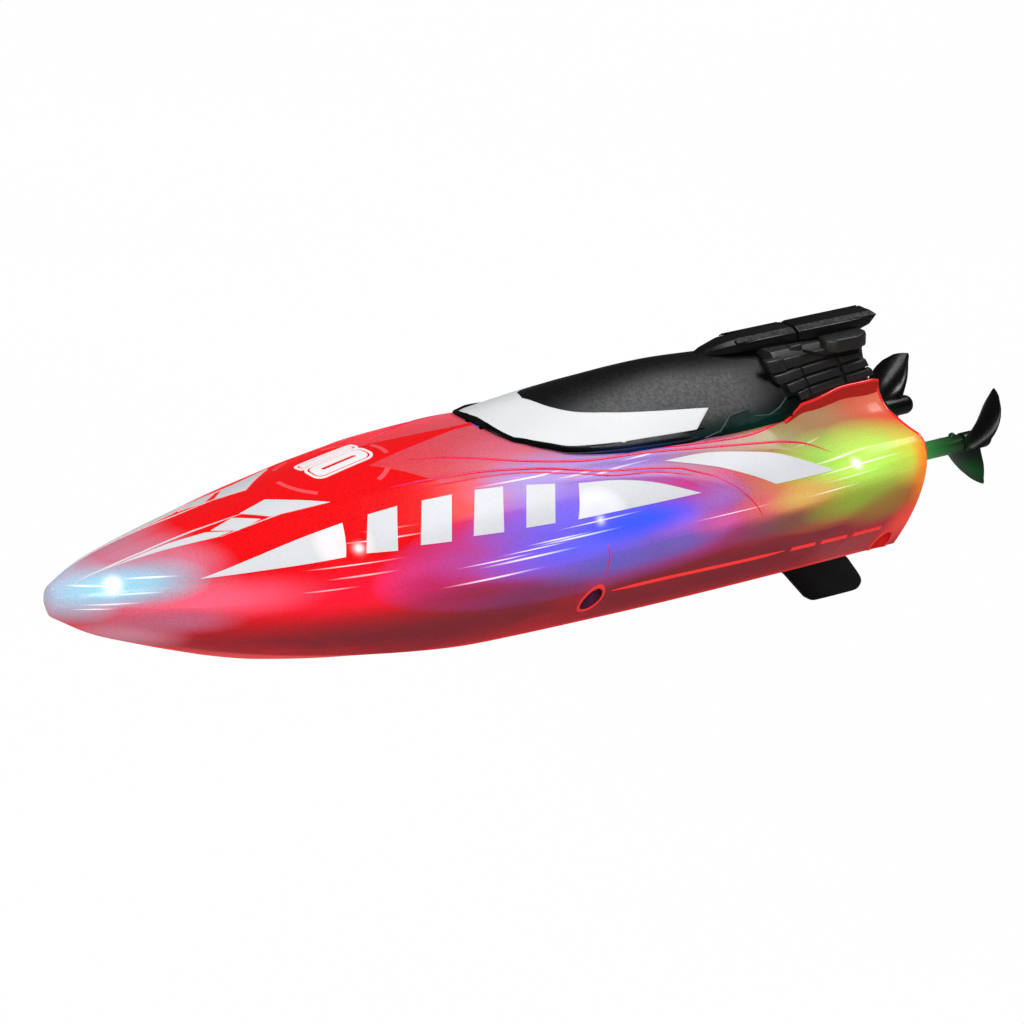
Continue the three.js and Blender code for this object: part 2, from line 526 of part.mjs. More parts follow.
// ---- Battery, board, switch and lights -------------------------------------------------------
function batteryTray() {
  const tray = solid(box(-TRAY_HALF, TRAY_HALF, ...TRAY_Y, TRAY_Z, TRAY_Z + 13));
  return tray.subtract(solid(box(-TRAY_HALF + 1.5, TRAY_HALF - 1.5, TRAY_Y[0] + 1.5, TRAY_Y[1] - 1.5,
    TRAY_Z + 1.5, TRAY_Z + 20)));
}

function batteryPack() {
  const z = TRAY_Z + 1.5 + GAP + CELL_RADIUS;
  const cells = [-1, 1].map((side) => solid(turned(pin(CELL_RADIUS, TRAY_Y[0] + 2, TRAY_Y[1] - 2),
    side * (CELL_RADIUS + 0.05), z, 20)));
  return joined(cells).add(solid(box(-CELL_RADIUS, CELL_RADIUS, TRAY_Y[0] + 2.6, TRAY_Y[1] - 2.6,
    z - CELL_RADIUS + 0.4, z + CELL_RADIUS - 0.4)));
}

function batteryStrap() {
  const top = TRAY_Z + 1.5 + 2 * (GAP + CELL_RADIUS) + 0.2;
  const [inner, outer] = [TRAY_HALF + GAP, TRAY_HALF + GAP + 1];
  return solid(sidePrism([[-outer, TRAY_Z + 1], [-inner, TRAY_Z + 1], [-inner, TRAY_Z + 13.6], [-13, top], [13, top],
    [inner, TRAY_Z + 13.6], [inner, TRAY_Z + 1], [outer, TRAY_Z + 1], [outer, TRAY_Z + 14.2], [13.4, top + 1],
    [-13.4, top + 1], [-outer, TRAY_Z + 14.2]], 42, 53));
}

function circuitBoard() {
  const board = solid(box(-BOARD_HALF[0], BOARD_HALF[0], BOARD_MIDDLE - BOARD_HALF[1],
    BOARD_MIDDLE + BOARD_HALF[1], BOARD_Z, BOARD_Z + 1.6));
  const holes = [[1, 1], [1, -1], [-1, 1], [-1, -1]].map(([sx, sy]) => post(
    sx * BOARD_HOLE[0], BOARD_MIDDLE + sy * BOARD_HOLE[1], 0, 40, 1.1));
  return board.subtract(joined(holes));
}

const onBoard = (x0, x1, y0, y1, height) => solid(box(x0, x1, BOARD_MIDDLE + y0, BOARD_MIDDLE + y1,
  BOARD_Z + 1.6 + GAP, BOARD_Z + 1.6 + GAP + height));

function switchBracket() {
  const plate = solid(box(-11, 11, SWITCH_Y[0] - 1.5, SWITCH_Y[1] + 1, SWITCH_Z, SWITCH_Z + 1.4));
  const leg = solid(box(-11, 11, TRAY_Y[1] + GAP, TRAY_Y[1] + GAP + 1.3, TRAY_Z + 2, SWITCH_Z + 1.4));
  const slot = solid(box(-4, 4, SWITCH_Y[0] + 1.2, SWITCH_Y[1] - 1.2, SWITCH_Z - 1, SWITCH_Z + 3));
  return plate.add(leg).subtract(slot);
}

function powerSwitch() {
  const body = solid(box(-6.2, 6.2, ...SWITCH_Y, SWITCH_Z - 6, SWITCH_Z - GAP));
  return body.subtract(solid(box(-4.2, 4.2, SWITCH_Y[0] + 1, SWITCH_Y[1] - 1, SWITCH_Z - 2.4, SWITCH_Z + 1)));
}

const switchSlider = () => solid(box(-SWITCH_TRAVEL / 2 - 1.8, -SWITCH_TRAVEL / 2 + 1.8, SWITCH_Y[0] + 1.5,
  SWITCH_Y[1] - 1.5, SWITCH_Z - 2.1, SWITCH_Z + 3.4));

const barX = line([-70, 21.5], [-60, 23.5], [20, 25], [70, 25], [118, 22.6]);
const barZ = line([-70, 36.5], [30, 35.5], [85, 35], [109, 34.6], [118, 32.6]);

/** The strip that carries one side's lights, as a bent bar inside the deck. */
const lightBar = (side) => solid(loft([-66, -50, -25, 0, 25, 50, 75, 95, 109, 117].map((y) => (
  [[-0.6, -1.8], [0.6, -1.8], [0.6, 1.8], [-0.6, 1.8]].map(([dx, dz]) => (
    [side * (barX(y) + dx), y, barZ(y) + dz]))))));

/** A light with a flange and a domed end, pointing along +Y from its base at the origin. */
const lamp = (radius, length) => new THREE.LatheGeometry([[0, 0], [radius + 0.4, 0], [radius + 0.4, 0.8],
  [radius, 0.9], [radius, length - radius], [radius * 0.7, length - radius * 0.3], [0, length]]
  .map(([r, y]) => new THREE.Vector2(r, y)), 10);

const sideLamp = (side, y) => solid(lamp(LAMP_RADIUS, 4.6).rotateZ(-side * RIGHT_ANGLE)
  .translate(side * (barX(y) + 0.6 + GAP), y, barZ(y)));
const bowLamp = () => solid(lamp(2.5, 8).rotateZ(Math.PI).translate(0, -111, BOW_LAMP_Z));
const lampHolder = () => solid(box(-5, 5, -110.7, -108.7, BOW_LAMP_Z - 5, BOW_LAMP_Z + 4));

function screw(x, y, seat, length) {
  const head = solid(upright([[0, seat - 2], [SCREW_HEAD * 0.8, seat - 2], [SCREW_HEAD, seat - 1.4],
    [SCREW_HEAD, seat - GAP], [SCREW_SHANK, seat - GAP], [SCREW_SHANK, seat + length - 1.5], [0, seat + length]],
  x, y));
  return head.subtract(solid(box(x - 1.6, x + 1.6, y - 0.4, y + 0.4, seat - 3, seat - 1.3)));
}

// ---- The whole boat --------------------------------------------------------------------------
const boat = new THREE.Group();
boat.position.set(0, -(BOW_Y + HUB_END_Y) / 2, -SKEG_BOTTOM_Z);

const finish = (color, roughness, metalness = 0) => ({ color, roughness, metalness });
const RED = { ...finish(0xd81826, 0.15), transparent: true, opacity: 0.7 };
const BLACK = finish(0x17181a, 0.45);
const CHARCOAL = finish(0x34363a, 0.25);
const WHITE = finish(0xf4f5f6, 0.2);
const STEEL = finish(0xb4b7ba, 0.3, 1);
const BRASS = finish(0xc6a04a, 0.3, 1);

function add(name, body, look) {
  const mesh = new THREE.Mesh(shape(body), new THREE.MeshStandardMaterial(look));
  mesh.name = name;
  boat.add(mesh);
}

add('lower_hull', lowerHull(), RED);
add('upper_deck', upperDeck(), RED);
add('hatch_gasket', hatchGasket(), finish(0x222222, 0.9));
add('canopy', canopy(), CHARCOAL);
add('windscreen', windscreen(), WHITE);
add('engine_cowl', engineCowl(), BLACK);
add('roof_wing', roofWing(), BLACK);
add('skeg', skeg(), BLACK);
add('skeg_screw', screw(0, SKEG_SCREW_Y, keelZ(120) - 2, 7), STEEL);
add('motor_mount', motorMount(), finish(0xe8e8e4, 0.6));
add('battery_tray', batteryTray(), finish(0xe8e8e4, 0.6));
add('battery_pack', batteryPack(), finish(0x2a5fb0, 0.5));
add('battery_strap', batteryStrap(), finish(0x1c1c1e, 0.8));
add('circuit_board', circuitBoard(), finish(0x1f6b3a, 0.5));
add('control_chip', onBoard(-5, 5, -5, 5, 1.6), BLACK);
add('radio_module', onBoard(-12, -3, 10, 20, 2.2), STEEL);
add('motor_driver', onBoard(4, 12, 10, 17, 1.6), BLACK);
add('capacitor', solid(upright(pin(3.2, BOARD_Z + 1.6 + GAP, BOARD_Z + 11), 9, BOARD_MIDDLE - 12)),
  finish(0x2b3a4a, 0.4));
add('switch_bracket', switchBracket(), finish(0xe8e8e4, 0.6));
add('power_switch', powerSwitch(), BLACK);
add('switch_slider', switchSlider(), WHITE);
add('bow_lamp_holder', lampHolder(), BLACK);
add('bow_lamp', bowLamp(), finish(0x9fe8ff, 0.1));
screwPlaces.forEach(([name, x, y, seat]) => add(name, screw(x, y, seat, SCREW_LENGTH), STEEL));
SIDES.forEach(([name, side]) => {
  const x = side * SHAFT_X;
  add(`${name}_cowl_pod`, cowlPod(side), BLACK);
  add(`${name}_stern_tube`, solid(turned(sleeve(SHAFT_RADIUS + RUNNING, TUBE_RADIUS, 120, HUB_Y - 0.5), x, SHAFT_Z)),
    BLACK);
  add(`${name}_propeller`, propeller(side), BLACK);
  add(`${name}_shaft`, solid(turned(pin(SHAFT_RADIUS, 115, HUB_END_Y - 2.8), x, SHAFT_Z, 12)), STEEL);
  add(`${name}_coupling`, solid(turned(sleeve(SHAFT_RADIUS + GAP, 3, 111, 119), x, SHAFT_Z)), BRASS);
  add(`${name}_motor_output`, solid(turned(pin(SHAFT_RADIUS, 105, 114.4), x, SHAFT_Z, 12)), STEEL);
  add(`${name}_motor`, motorCan(side), STEEL);
  add(`${name}_motor_cap`, motorEndCap(side), finish(0xe8e8e4, 0.6));
  add(`${name}_light_bar`, lightBar(side), finish(0xe9efe6, 0.5));
  LAMPS.forEach(([place, y, color]) => add(`${name}_${place}_lamp`, sideLamp(side, y), finish(color, 0.1)));
  add(`${name}_water_contact`, screw(side * CONTACT[0], CONTACT[1], keelZ(60) - GAP, 4), STEEL);
});

export default boat;
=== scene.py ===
from math import cos, pi, radians, sin, sqrt

import bmesh
import bpy
from mathutils import Matrix, Vector
from mathutils.bvhtree import BVHTree


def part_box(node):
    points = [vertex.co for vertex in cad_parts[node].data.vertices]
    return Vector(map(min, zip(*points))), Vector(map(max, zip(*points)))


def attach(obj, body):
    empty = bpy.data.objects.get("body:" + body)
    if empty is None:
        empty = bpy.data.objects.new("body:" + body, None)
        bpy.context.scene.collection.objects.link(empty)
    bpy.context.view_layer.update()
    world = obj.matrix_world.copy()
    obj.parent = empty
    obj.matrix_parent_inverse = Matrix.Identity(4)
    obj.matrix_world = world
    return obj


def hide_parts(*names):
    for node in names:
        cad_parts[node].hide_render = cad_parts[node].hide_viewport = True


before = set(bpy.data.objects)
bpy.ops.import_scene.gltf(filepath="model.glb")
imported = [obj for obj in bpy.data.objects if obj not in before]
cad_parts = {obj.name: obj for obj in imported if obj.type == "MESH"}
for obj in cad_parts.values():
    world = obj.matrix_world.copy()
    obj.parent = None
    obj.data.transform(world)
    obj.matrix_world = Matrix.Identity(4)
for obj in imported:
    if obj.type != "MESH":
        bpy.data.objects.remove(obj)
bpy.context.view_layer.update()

# ---- Frame ---------------------------------------------------------------------------------------
# Shapes are worked out in hull millimetres: y from the bow (-134) to the transom (135), z over the
# keel line, x to port. at() puts them into the row frame.
BOW_Y, TRANSOM_Y = -134.0, 135.0
SHIFT_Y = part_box("lower_hull")[0].y * 1000 - BOW_Y
SHIFT_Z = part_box("skeg")[0].z * 1000 + 23.0
shaft_low, shaft_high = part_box("port_shaft")
SHAFT_X = (shaft_low.x + shaft_high.x) * 500
SHAFT_Z = (shaft_low.z + shaft_high.z) * 500 - SHIFT_Z
WALL = 1.8  # of the two shells
LID_WALL = 1.6
GAP = 0.3  # between the lid and the deck
SEAM = 0.04  # half the gap between deck and hull
SIDES = (("port", 1), ("starboard", -1))
DOWN, UP = Vector((0, 0, -1)), Vector((0, 0, 1))
ABOVE, BESIDE = 90, 70  # heights and distances clear of the boat, where rays start


def at(x, y, z):
    """A point of the row frame in metres, from hull millimetres."""
    return Vector((x, y + SHIFT_Y, z + SHIFT_Z)) * 0.001


def hull_mm(point):
    """The other way: hull millimetres from a point of the row frame."""
    return point.x * 1000, point.y * 1000 - SHIFT_Y, point.z * 1000 - SHIFT_Z


# ---- Lines ---------------------------------------------------------------------------------------
def mix(a, b, t):
    return a + (b - a) * t


def cubic(a, b, slope_a, slope_b, t):
    """A curve from a to b that leaves and arrives with the given slopes."""
    t2, t3 = t * t, t * t * t
    return (a * (2 * t3 - 3 * t2 + 1) + slope_a * (t3 - 2 * t2 + t)
            + b * (3 * t2 - 2 * t3) + slope_b * (t3 - t2))


def line(*pairs):
    """A smooth line through (y, value) pairs that never overshoots them."""
    last = len(pairs) - 1
    rise = [(pairs[i + 1][1] - pairs[i][1]) / (pairs[i + 1][0] - pairs[i][0]) for i in range(last)]
    slopes = [rise[0]]
    for before, after in zip(rise, rise[1:]):
        slopes.append(0 if before * after <= 0 else 2 * before * after / (before + after))
    slopes.append(rise[-1])

    def value(y):
        y = min(max(y, pairs[0][0]), pairs[last][0])
        i = 0
        while i < last - 1 and y > pairs[i + 1][0]:
            i += 1
        (start, a), (end, b) = pairs[i:i + 2]
        width = end - start
        return cubic(a, b, width * slopes[i], width * slopes[i + 1], (y - start) / width)
    return value


def spread(start, end, count):
    """Evenly spaced values from start to end."""
    return [mix(start, end, k / count) for k in range(count + 1)]


def curve(points, steps, sharp=(), closed=False):
    """A curve through points of a plane, with a corner kept at each index in sharp."""
    points = [Vector(p) for p in points]
    count = len(points)
    out = []
    for i in range(count if closed else count - 1):
        a, b = points[i], points[(i + 1) % count]
        chord = b - a
        leaves_straight = i in sharp or (not closed and i == 0)
        lands_straight = (i + 1) % count in sharp or (not closed and i + 2 >= count)
        slopes = [chord if leaves_straight else (b - points[i - 1]) / 2,
                  chord if lands_straight else (points[(i + 2) % count] - a) / 2]
        slopes = [v.normalized() * min(v.length, chord.length) if v.length else v for v in slopes]
        out += [cubic(a, b, *slopes, k / steps) for k in range(steps)]
    if not closed:
        out.append(points[-1])
    return [(p.x, p.y) for p in out]


half_beam = line((-134, 2.8), (-124, 10), (-112, 16), (-85, 28), (-66, 34.8), (-45, 39), (-15, 41.8),
                 (15, 42.3), (68, 42), (102, 40.2), (135, 36))
beam_z = line((-134, 31), (-100, 29.3), (-48, 27.2), (0, 26.3), (68, 26.3), (110, 27), (135, 28))
crown_z = line((-134, 35.4), (-122, 39.9), (-103, 43.8), (-88, 46), (-63, 49.7), (-48, 52), (-25, 54.3),
               (0, 55.4), (36, 54), (72, 51.2), (107, 49))
keel_z = line((-134, 27.6), (-122, 20.4), (-112, 16.6), (-100, 12.4), (-75, 4.7), (-40, -1.6), (0, -4.9),
              (30, -5.4), (135, -5.4))
chine_x = line((-134, 1.4), (-121, 5.5), (-112, 9.5), (-91, 16.5), (-63, 22.5), (-30, 25.5), (26, 26),
               (90, 24.3), (135, 22.3))
chine_z = line((-134, 28.2), (-121, 22.8), (-112, 19.6), (-91, 13.4), (-63, 7.9), (-40, 4.4), (-15, 1.8),
               (26, 0.8), (68, 0), (135, -0.8))
upper_crease = line((-30, 72), (-10, 62), (10, 50), (60, 46), (80, 41), (103, 24), (135, 24))
lower_crease = line((-45, 60), (-16, 54), (9, 46), (40, 37), (62, 22), (70, 12), (135, 12))
stern_blend = line((84, 0), (96, 0.16), (112, 0.72), (128, 1))
panel_depth = line((-45, 0), (10, 0.2), (45, 0.8), (85, 0.8), (110, 0))
STERN_DECK = ((36, 28), (35.8, 30), (35.3, 31.9), (34.2, 34.4), (32.3, 35.7), (26.1, 36.8), (17.5, 39.2),
              (14.2, 41.6), (11.8, 45.6), (0, 46.2))


def deck_knots(y):
    """Half the deck's section at y as (x, z), from the widest point to the centreline."""
    beam, base, crown = half_beam(y), beam_z(y), crown_z(y)
    low, high, blend = lower_crease(y), upper_crease(y), stern_blend(y)
    angles = [0, low / 2, low, (low + high) / 2, high]
    angles += [mix(high, 90, t) for t in (0.25, 0.48, 0.56, 0.68, 1)]
    out = []
    for i, angle in enumerate(angles):
        sunk = panel_depth(y) if i == 3 else 0
        x = (beam - sunk) * cos(radians(angle))
        z = base + (crown - base - sunk) * sin(radians(angle))
        stern_x, stern_z = STERN_DECK[i]
        if i < 3:
            stern_x, stern_z = stern_x + beam - half_beam(TRANSOM_Y), stern_z + base - beam_z(TRANSOM_Y)
        out.append((mix(x, stern_x, blend), mix(z, stern_z, blend)))
    return out


def deck_half(y, steps=6):
    """The smooth half section through the deck's knots, ending on the centreline."""
    knots = deck_knots(y)
    past_middle = (-knots[-2][0], knots[-2][1])
    corners = (2, 4, 8) if y > -20 else ()
    points = curve(knots + [past_middle], steps, corners)[:9 * steps + 1]
    return points[:-1] + [(0, points[-1][1])]


def bottom_half(y, steps=18):
    """Half the bottom's section at y as (x, z): keel pad, chine and side, up to the widest point."""
    beam, base, x, z = half_beam(y), beam_z(y), chine_x(y), chine_z(y)
    pad = min(8, x * 0.5)
    high = mix(z, base, 0.6)
    out = [(0, keel_z(y)), (pad * 0.5, keel_z(y)), (pad, keel_z(y))]
    out += [(mix(pad, x, t), mix(keel_z(y), z, t)) for t in (0.33, 0.67)]
    for k in range(steps + 1):
        t = k / steps
        out.append((mix(mix(x, beam * 0.985, t), mix(beam * 0.985, beam, t), t),
                    mix(mix(z, high, t), mix(high, base, t), t)))
    return out


# ---- Mesh tools ----------------------------------------------------------------------------------
scene = bpy.context.scene


def around(count):
    """Angles that share out a full turn."""
    return [2 * pi * k / count for k in range(count)]


def smooth(mesh, angle=32):
    """Shades a mesh smooth, apart from edges that turn by more than the angle."""
    mesh.shade_smooth()
    mesh.set_sharp_from_angle(angle=radians(angle))


def new_object(name, bm, material=None, angle=32):
    """An object from mesh data, smooth apart from its sharp edges."""
    mesh = bpy.data.meshes.new(name)
    bm.normal_update()
    bm.to_mesh(mesh)
    bm.free()
    smooth(mesh, angle)
    obj = bpy.data.objects.new(name, mesh)
    scene.collection.objects.link(obj)
    if material:
        mesh.materials.append(material)
    return obj


def grid(rows, rings=False, ends=False):
    """A mesh over rows of points in hull millimetres; with rings, each row is joined into a ring."""
    bm = bmesh.new()
    verts = [[bm.verts.new(at(*p)) for p in row] for row in rows]
    for a, b in zip(verts, verts[1:]):
        count = len(a)
        for k in range(count if rings else count - 1):
            bm.faces.new((a[k], a[(k + 1) % count], b[(k + 1) % count], b[k]))
    if ends:
        bm.faces.new(list(reversed(verts[0])))
        bm.faces.new(verts[-1])
    bmesh.ops.remove_doubles(bm, verts=bm.verts, dist=2e-6)
    bmesh.ops.dissolve_degenerate(bm, edges=bm.edges, dist=1e-7)
    bmesh.ops.recalc_face_normals(bm, faces=bm.faces)
    return bm


def solid(name, rows, material=None, angle=32):
    """A closed bar through rings of points."""
    return new_object(name, grid(rows, rings=True, ends=True), material, angle)


def baked(obj):
    """Works out an object's modifiers into its mesh."""
    depsgraph = bpy.context.evaluated_depsgraph_get()
    mesh = bpy.data.meshes.new_from_object(obj.evaluated_get(depsgraph))
    obj.modifiers.clear()
    obj.data = mesh
    smooth(mesh)
    return obj


def cut(obj, *cutters):
    """Takes the cutters' shapes out of obj."""
    for cutter in cutters:
        modifier = obj.modifiers.new("cut", "BOOLEAN")
        modifier.object = cutter
        modifier.solver = "EXACT"
    baked(obj)
    for cutter in cutters:
        bpy.data.objects.remove(cutter)
    return obj


def thick(obj, wall, inner=0):
    """Gives a sheet its wall; inner is the material step of the far face."""
    modifier = obj.modifiers.new("wall", "SOLIDIFY")
    modifier.thickness = wall * 0.001
    modifier.material_offset = inner
    return baked(obj)


def bevelled(obj, width, segments=2, angle=30):
    """Rounds the edges that turn by more than the angle."""
    modifier = obj.modifiers.new("edge", "BEVEL")
    modifier.width = width * 0.001
    modifier.segments = segments
    modifier.limit_method = "ANGLE"
    modifier.angle_limit = radians(angle)
    return baked(obj)


def prism(name, outline, low, high, material=None):
    """An upright solid over an outline, from low to high."""
    return solid(name, [[(x, y, z) for x, y in outline] for z in (low, high)], material)


def turned(name, profile, x, z, sides=48, material=None, axis="y", y=0):
    """A turned solid from (radius, distance) points along Y, or along Z through (x, y)."""
    rows = [[(x + radius * cos(a), along, z + radius * sin(a)) if axis == "y" else
             (x + radius * cos(a), y + radius * sin(a), along) for a in around(sides)]
            for radius, along in profile]
    return new_object(name, grid(rows, rings=True), material, 40)


def place(obj, body, slot, *nodes):
    """Puts a piece on its body and hides the CAD nodes it stands for; its slot is not used."""
    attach(obj, body)
    if nodes:
        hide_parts(*nodes)
    return obj


def tree_of(*objs):
    """A search tree over the objects' meshes, for laying thin pieces on them."""
    bm = bmesh.new()
    for obj in objs:
        bm.from_mesh(obj.data)
    tree = BVHTree.FromBMesh(bm)
    bm.free()
    return tree


def sight(a, b, axis, side=1):
    """Where a ray starts and which way it goes, at (y, z) from one side or at (x, y) from above."""
    if axis == "x":
        return at(side * BESIDE, a, b), Vector((-side, 0, 0))
    return at(a, b, ABOVE), DOWN


def landing(tree, start, way):
    """The point and the normal where a ray meets a surface, or else of the surface's nearest point."""
    hit, normal, _, _ = tree.ray_cast(start, way)
    if hit is None:
        hit, normal, _, _ = tree.find_nearest(start)
    return hit, normal


def best_plane(outline, tree, side):
    """The plane x = c + d y + e z that lies closest to a side surface at an outline's points."""
    basis = [(1, a, b) for a, b in outline]
    found = [hull_mm(tree.ray_cast(*sight(a, b, "x", side))[0])[0] for a, b in outline]
    squares = Matrix([[sum(p[i] * p[j] for p in basis) for j in range(3)] for i in range(3)])
    return squares.inverted() @ Vector([sum(x * p[i] for x, p in zip(found, basis)) for i in range(3)])


def laid(name, outline, tree, axis, material, side=1, proud=0.16, depth=0.3, cell=1.6, holes=(),
         slant=None):
    """A thin patch that follows a surface. Its outline is (y, z) seen along X, or (x, y) seen from above.
    With a slant it is pressed on along that direction, so its upright edges stay straight on a curved
    side."""
    bm = bmesh.new()
    for loop in (outline,) + tuple(holes):
        verts = [bm.verts.new((a, b, 0)) for a, b in loop]
        for k in range(len(verts)):
            bm.edges.new((verts[k], verts[(k + 1) % len(verts)]))
    bmesh.ops.triangle_fill(bm, use_beauty=True, use_dissolve=False, edges=bm.edges)
    for i, normal in enumerate((Vector((1, 0, 0)), Vector((0, 1, 0)))):
        low = min(v.co[i] for v in bm.verts)
        high = max(v.co[i] for v in bm.verts)
        steps = int((high - low) / cell)
        for k in range(1, steps + 1):
            where = normal * (low + (high - low) * k / (steps + 1))
            bmesh.ops.bisect_plane(bm, geom=bm.verts[:] + bm.edges[:] + bm.faces[:],
                                   plane_co=where, plane_no=normal, dist=1e-5)
    if slant:
        plane = best_plane(outline, tree, side)
        press = Vector((-side * slant[0], -slant[1], -slant[2])).normalized()
    for v in bm.verts:
        a, b = v.co.x, v.co.y
        ray = (at(plane.dot((1, a, b)), a, b) - press * 0.03, press) if slant else sight(a, b, axis, side)
        hit, normal = landing(tree, *ray)
        v.co = hit + normal * proud * 0.001
    up = Vector((side, 0, 0)) if axis == "x" else UP
    bm.normal_update()
    for face in bm.faces:
        if face.normal.dot(up) < 0:
            face.normal_flip()
    return thick(new_object(name, bm, material, 50), depth)


def raised(name, points, tree, axis, material, radius=0.35, side=1, taper=True, body="hull",
           slot="red_shell"):
    """A thin raised line that follows a surface."""
    rows = []
    count = len(points)
    for k, (a, b) in enumerate(points):
        hit, normal = landing(tree, *sight(a, b, axis, side))
        a2, b2 = points[min(k + 1, count - 1)]
        a1, b1 = points[max(k - 1, 0)]
        along = Vector((0, a2 - a1, b2 - b1)) if axis == "x" else Vector((a2 - a1, b2 - b1, 0))
        across = normal.cross(along).normalized()
        size = radius * (min(1.0, 6 * min(k, count - 1 - k) / count + 0.25) if taper else 1)
        rows.append([hull_mm(hit + (across * cos(t) + normal * sin(t) * 0.55) * size * 0.001)
                     for t in around(8)])
    return place(solid(name, rows, material, 60), body, slot)


# ---- Materials -----------------------------------------------------------------------------------
GRAIN, CLOUD = 900, 40  # scales of the fine and of the broad change of tone in plastic


class Paint:
    """A small builder for node materials."""

    def __init__(self, name):
        self.material = bpy.data.materials.new(name)
        self.material.use_nodes = True
        self.tree = self.material.node_tree
        self.tree.nodes.clear()
        self.out = self.node("OutputMaterial")
        coords = self.node("TexCoord").outputs["Object"]
        split = self.node("SeparateXYZ", {0: coords})
        self.x = self.math("ABSOLUTE", split.outputs[0])
        self.y, self.z = split.outputs[1], split.outputs[2]
        self.place = coords
        self.folded = self.node("CombineXYZ", {0: self.x, 1: self.y, 2: self.z}).outputs[0]

    def node(self, kind, inputs=None, **settings):
        node = self.tree.nodes.new("ShaderNode" + kind)
        for key, value in settings.items():
            setattr(node, key, value)
        for key, value in (inputs or {}).items():
            self.feed(node.inputs[key], value)
        return node

    def feed(self, socket, value):
        if isinstance(value, bpy.types.NodeSocket):
            self.tree.links.new(value, socket)
        elif isinstance(value, (tuple, list)) and len(value) == 3 and socket.type == "RGBA":
            socket.default_value = (*value, 1)
        else:
            socket.default_value = value

    def math(self, operation, *values):
        return self.node("Math", dict(enumerate(values)), operation=operation).outputs[0]

    def times(self, a, b):
        return self.math("MULTIPLY", a, b)

    def plus(self, a, b):
        return self.math("ADD", a, b)

    def minus(self, a, b):
        return self.math("SUBTRACT", a, b)

    def most(self, a, b):
        return self.math("MAXIMUM", a, b)

    def vector(self, operation, *values):
        node = self.node("VectorMath", dict(enumerate(values)), operation=operation)
        return node.outputs["Value" if operation == "LENGTH" else "Vector"]

    def blend(self, factor, a, b):
        node = self.node("Mix", data_type="RGBA")
        for socket, value in zip((node.inputs[0], node.inputs[6], node.inputs[7]), (factor, a, b)):
            self.feed(socket, value)
        return node.outputs[2]

    def ramp(self, value, low, high, to_low=0.0, to_high=1.0, smooth=True):
        kind = "SMOOTHSTEP" if smooth else "LINEAR"
        return self.node("MapRange", {0: value, 1: low, 2: high, 3: to_low, 4: to_high},
                         interpolation_type=kind).outputs[0]

    def noise(self, scale, detail=3.0, rough=0.55, stretch=None):
        place = self.vector("MULTIPLY", self.place, stretch) if stretch else self.place
        return self.node("TexNoise", {"Vector": place, "Scale": scale, "Detail": detail,
                                      "Roughness": rough}).outputs[0]

    def bump(self, height, strength, distance):
        return self.node("Bump", {"Height": height, "Strength": strength,
                                  "Distance": distance}).outputs[0]

    def near(self, centre, radii, power=1.0):
        """1 at a point, fading to 0 at its radii; the two sides of the boat are alike."""
        c = at(*centre)
        away = self.vector("SUBTRACT", self.folded, tuple(c))
        away = self.vector("DIVIDE", away, tuple(r * 0.001 for r in radii))
        fade = self.ramp(self.vector("LENGTH", away), 0, 1, 1, 0)
        return self.math("POWER", fade, power) if power != 1 else fade

    def shade(self, color, rough, **more):
        inputs = {"Base Color": color, "Roughness": rough}
        inputs.update({key.replace("_", " "): value for key, value in more.items()})
        return self.node("BsdfPrincipled", inputs).outputs[0]

    def finish(self, shader):
        self.tree.links.new(shader, self.out.inputs[0])
        return self.material


def srgb(*levels):
    """Linear colour from 0-255 display levels."""
    return tuple((v / 255 / 12.92) if v <= 10 else ((v / 255 + 0.055) / 1.055) ** 2.4 for v in levels)
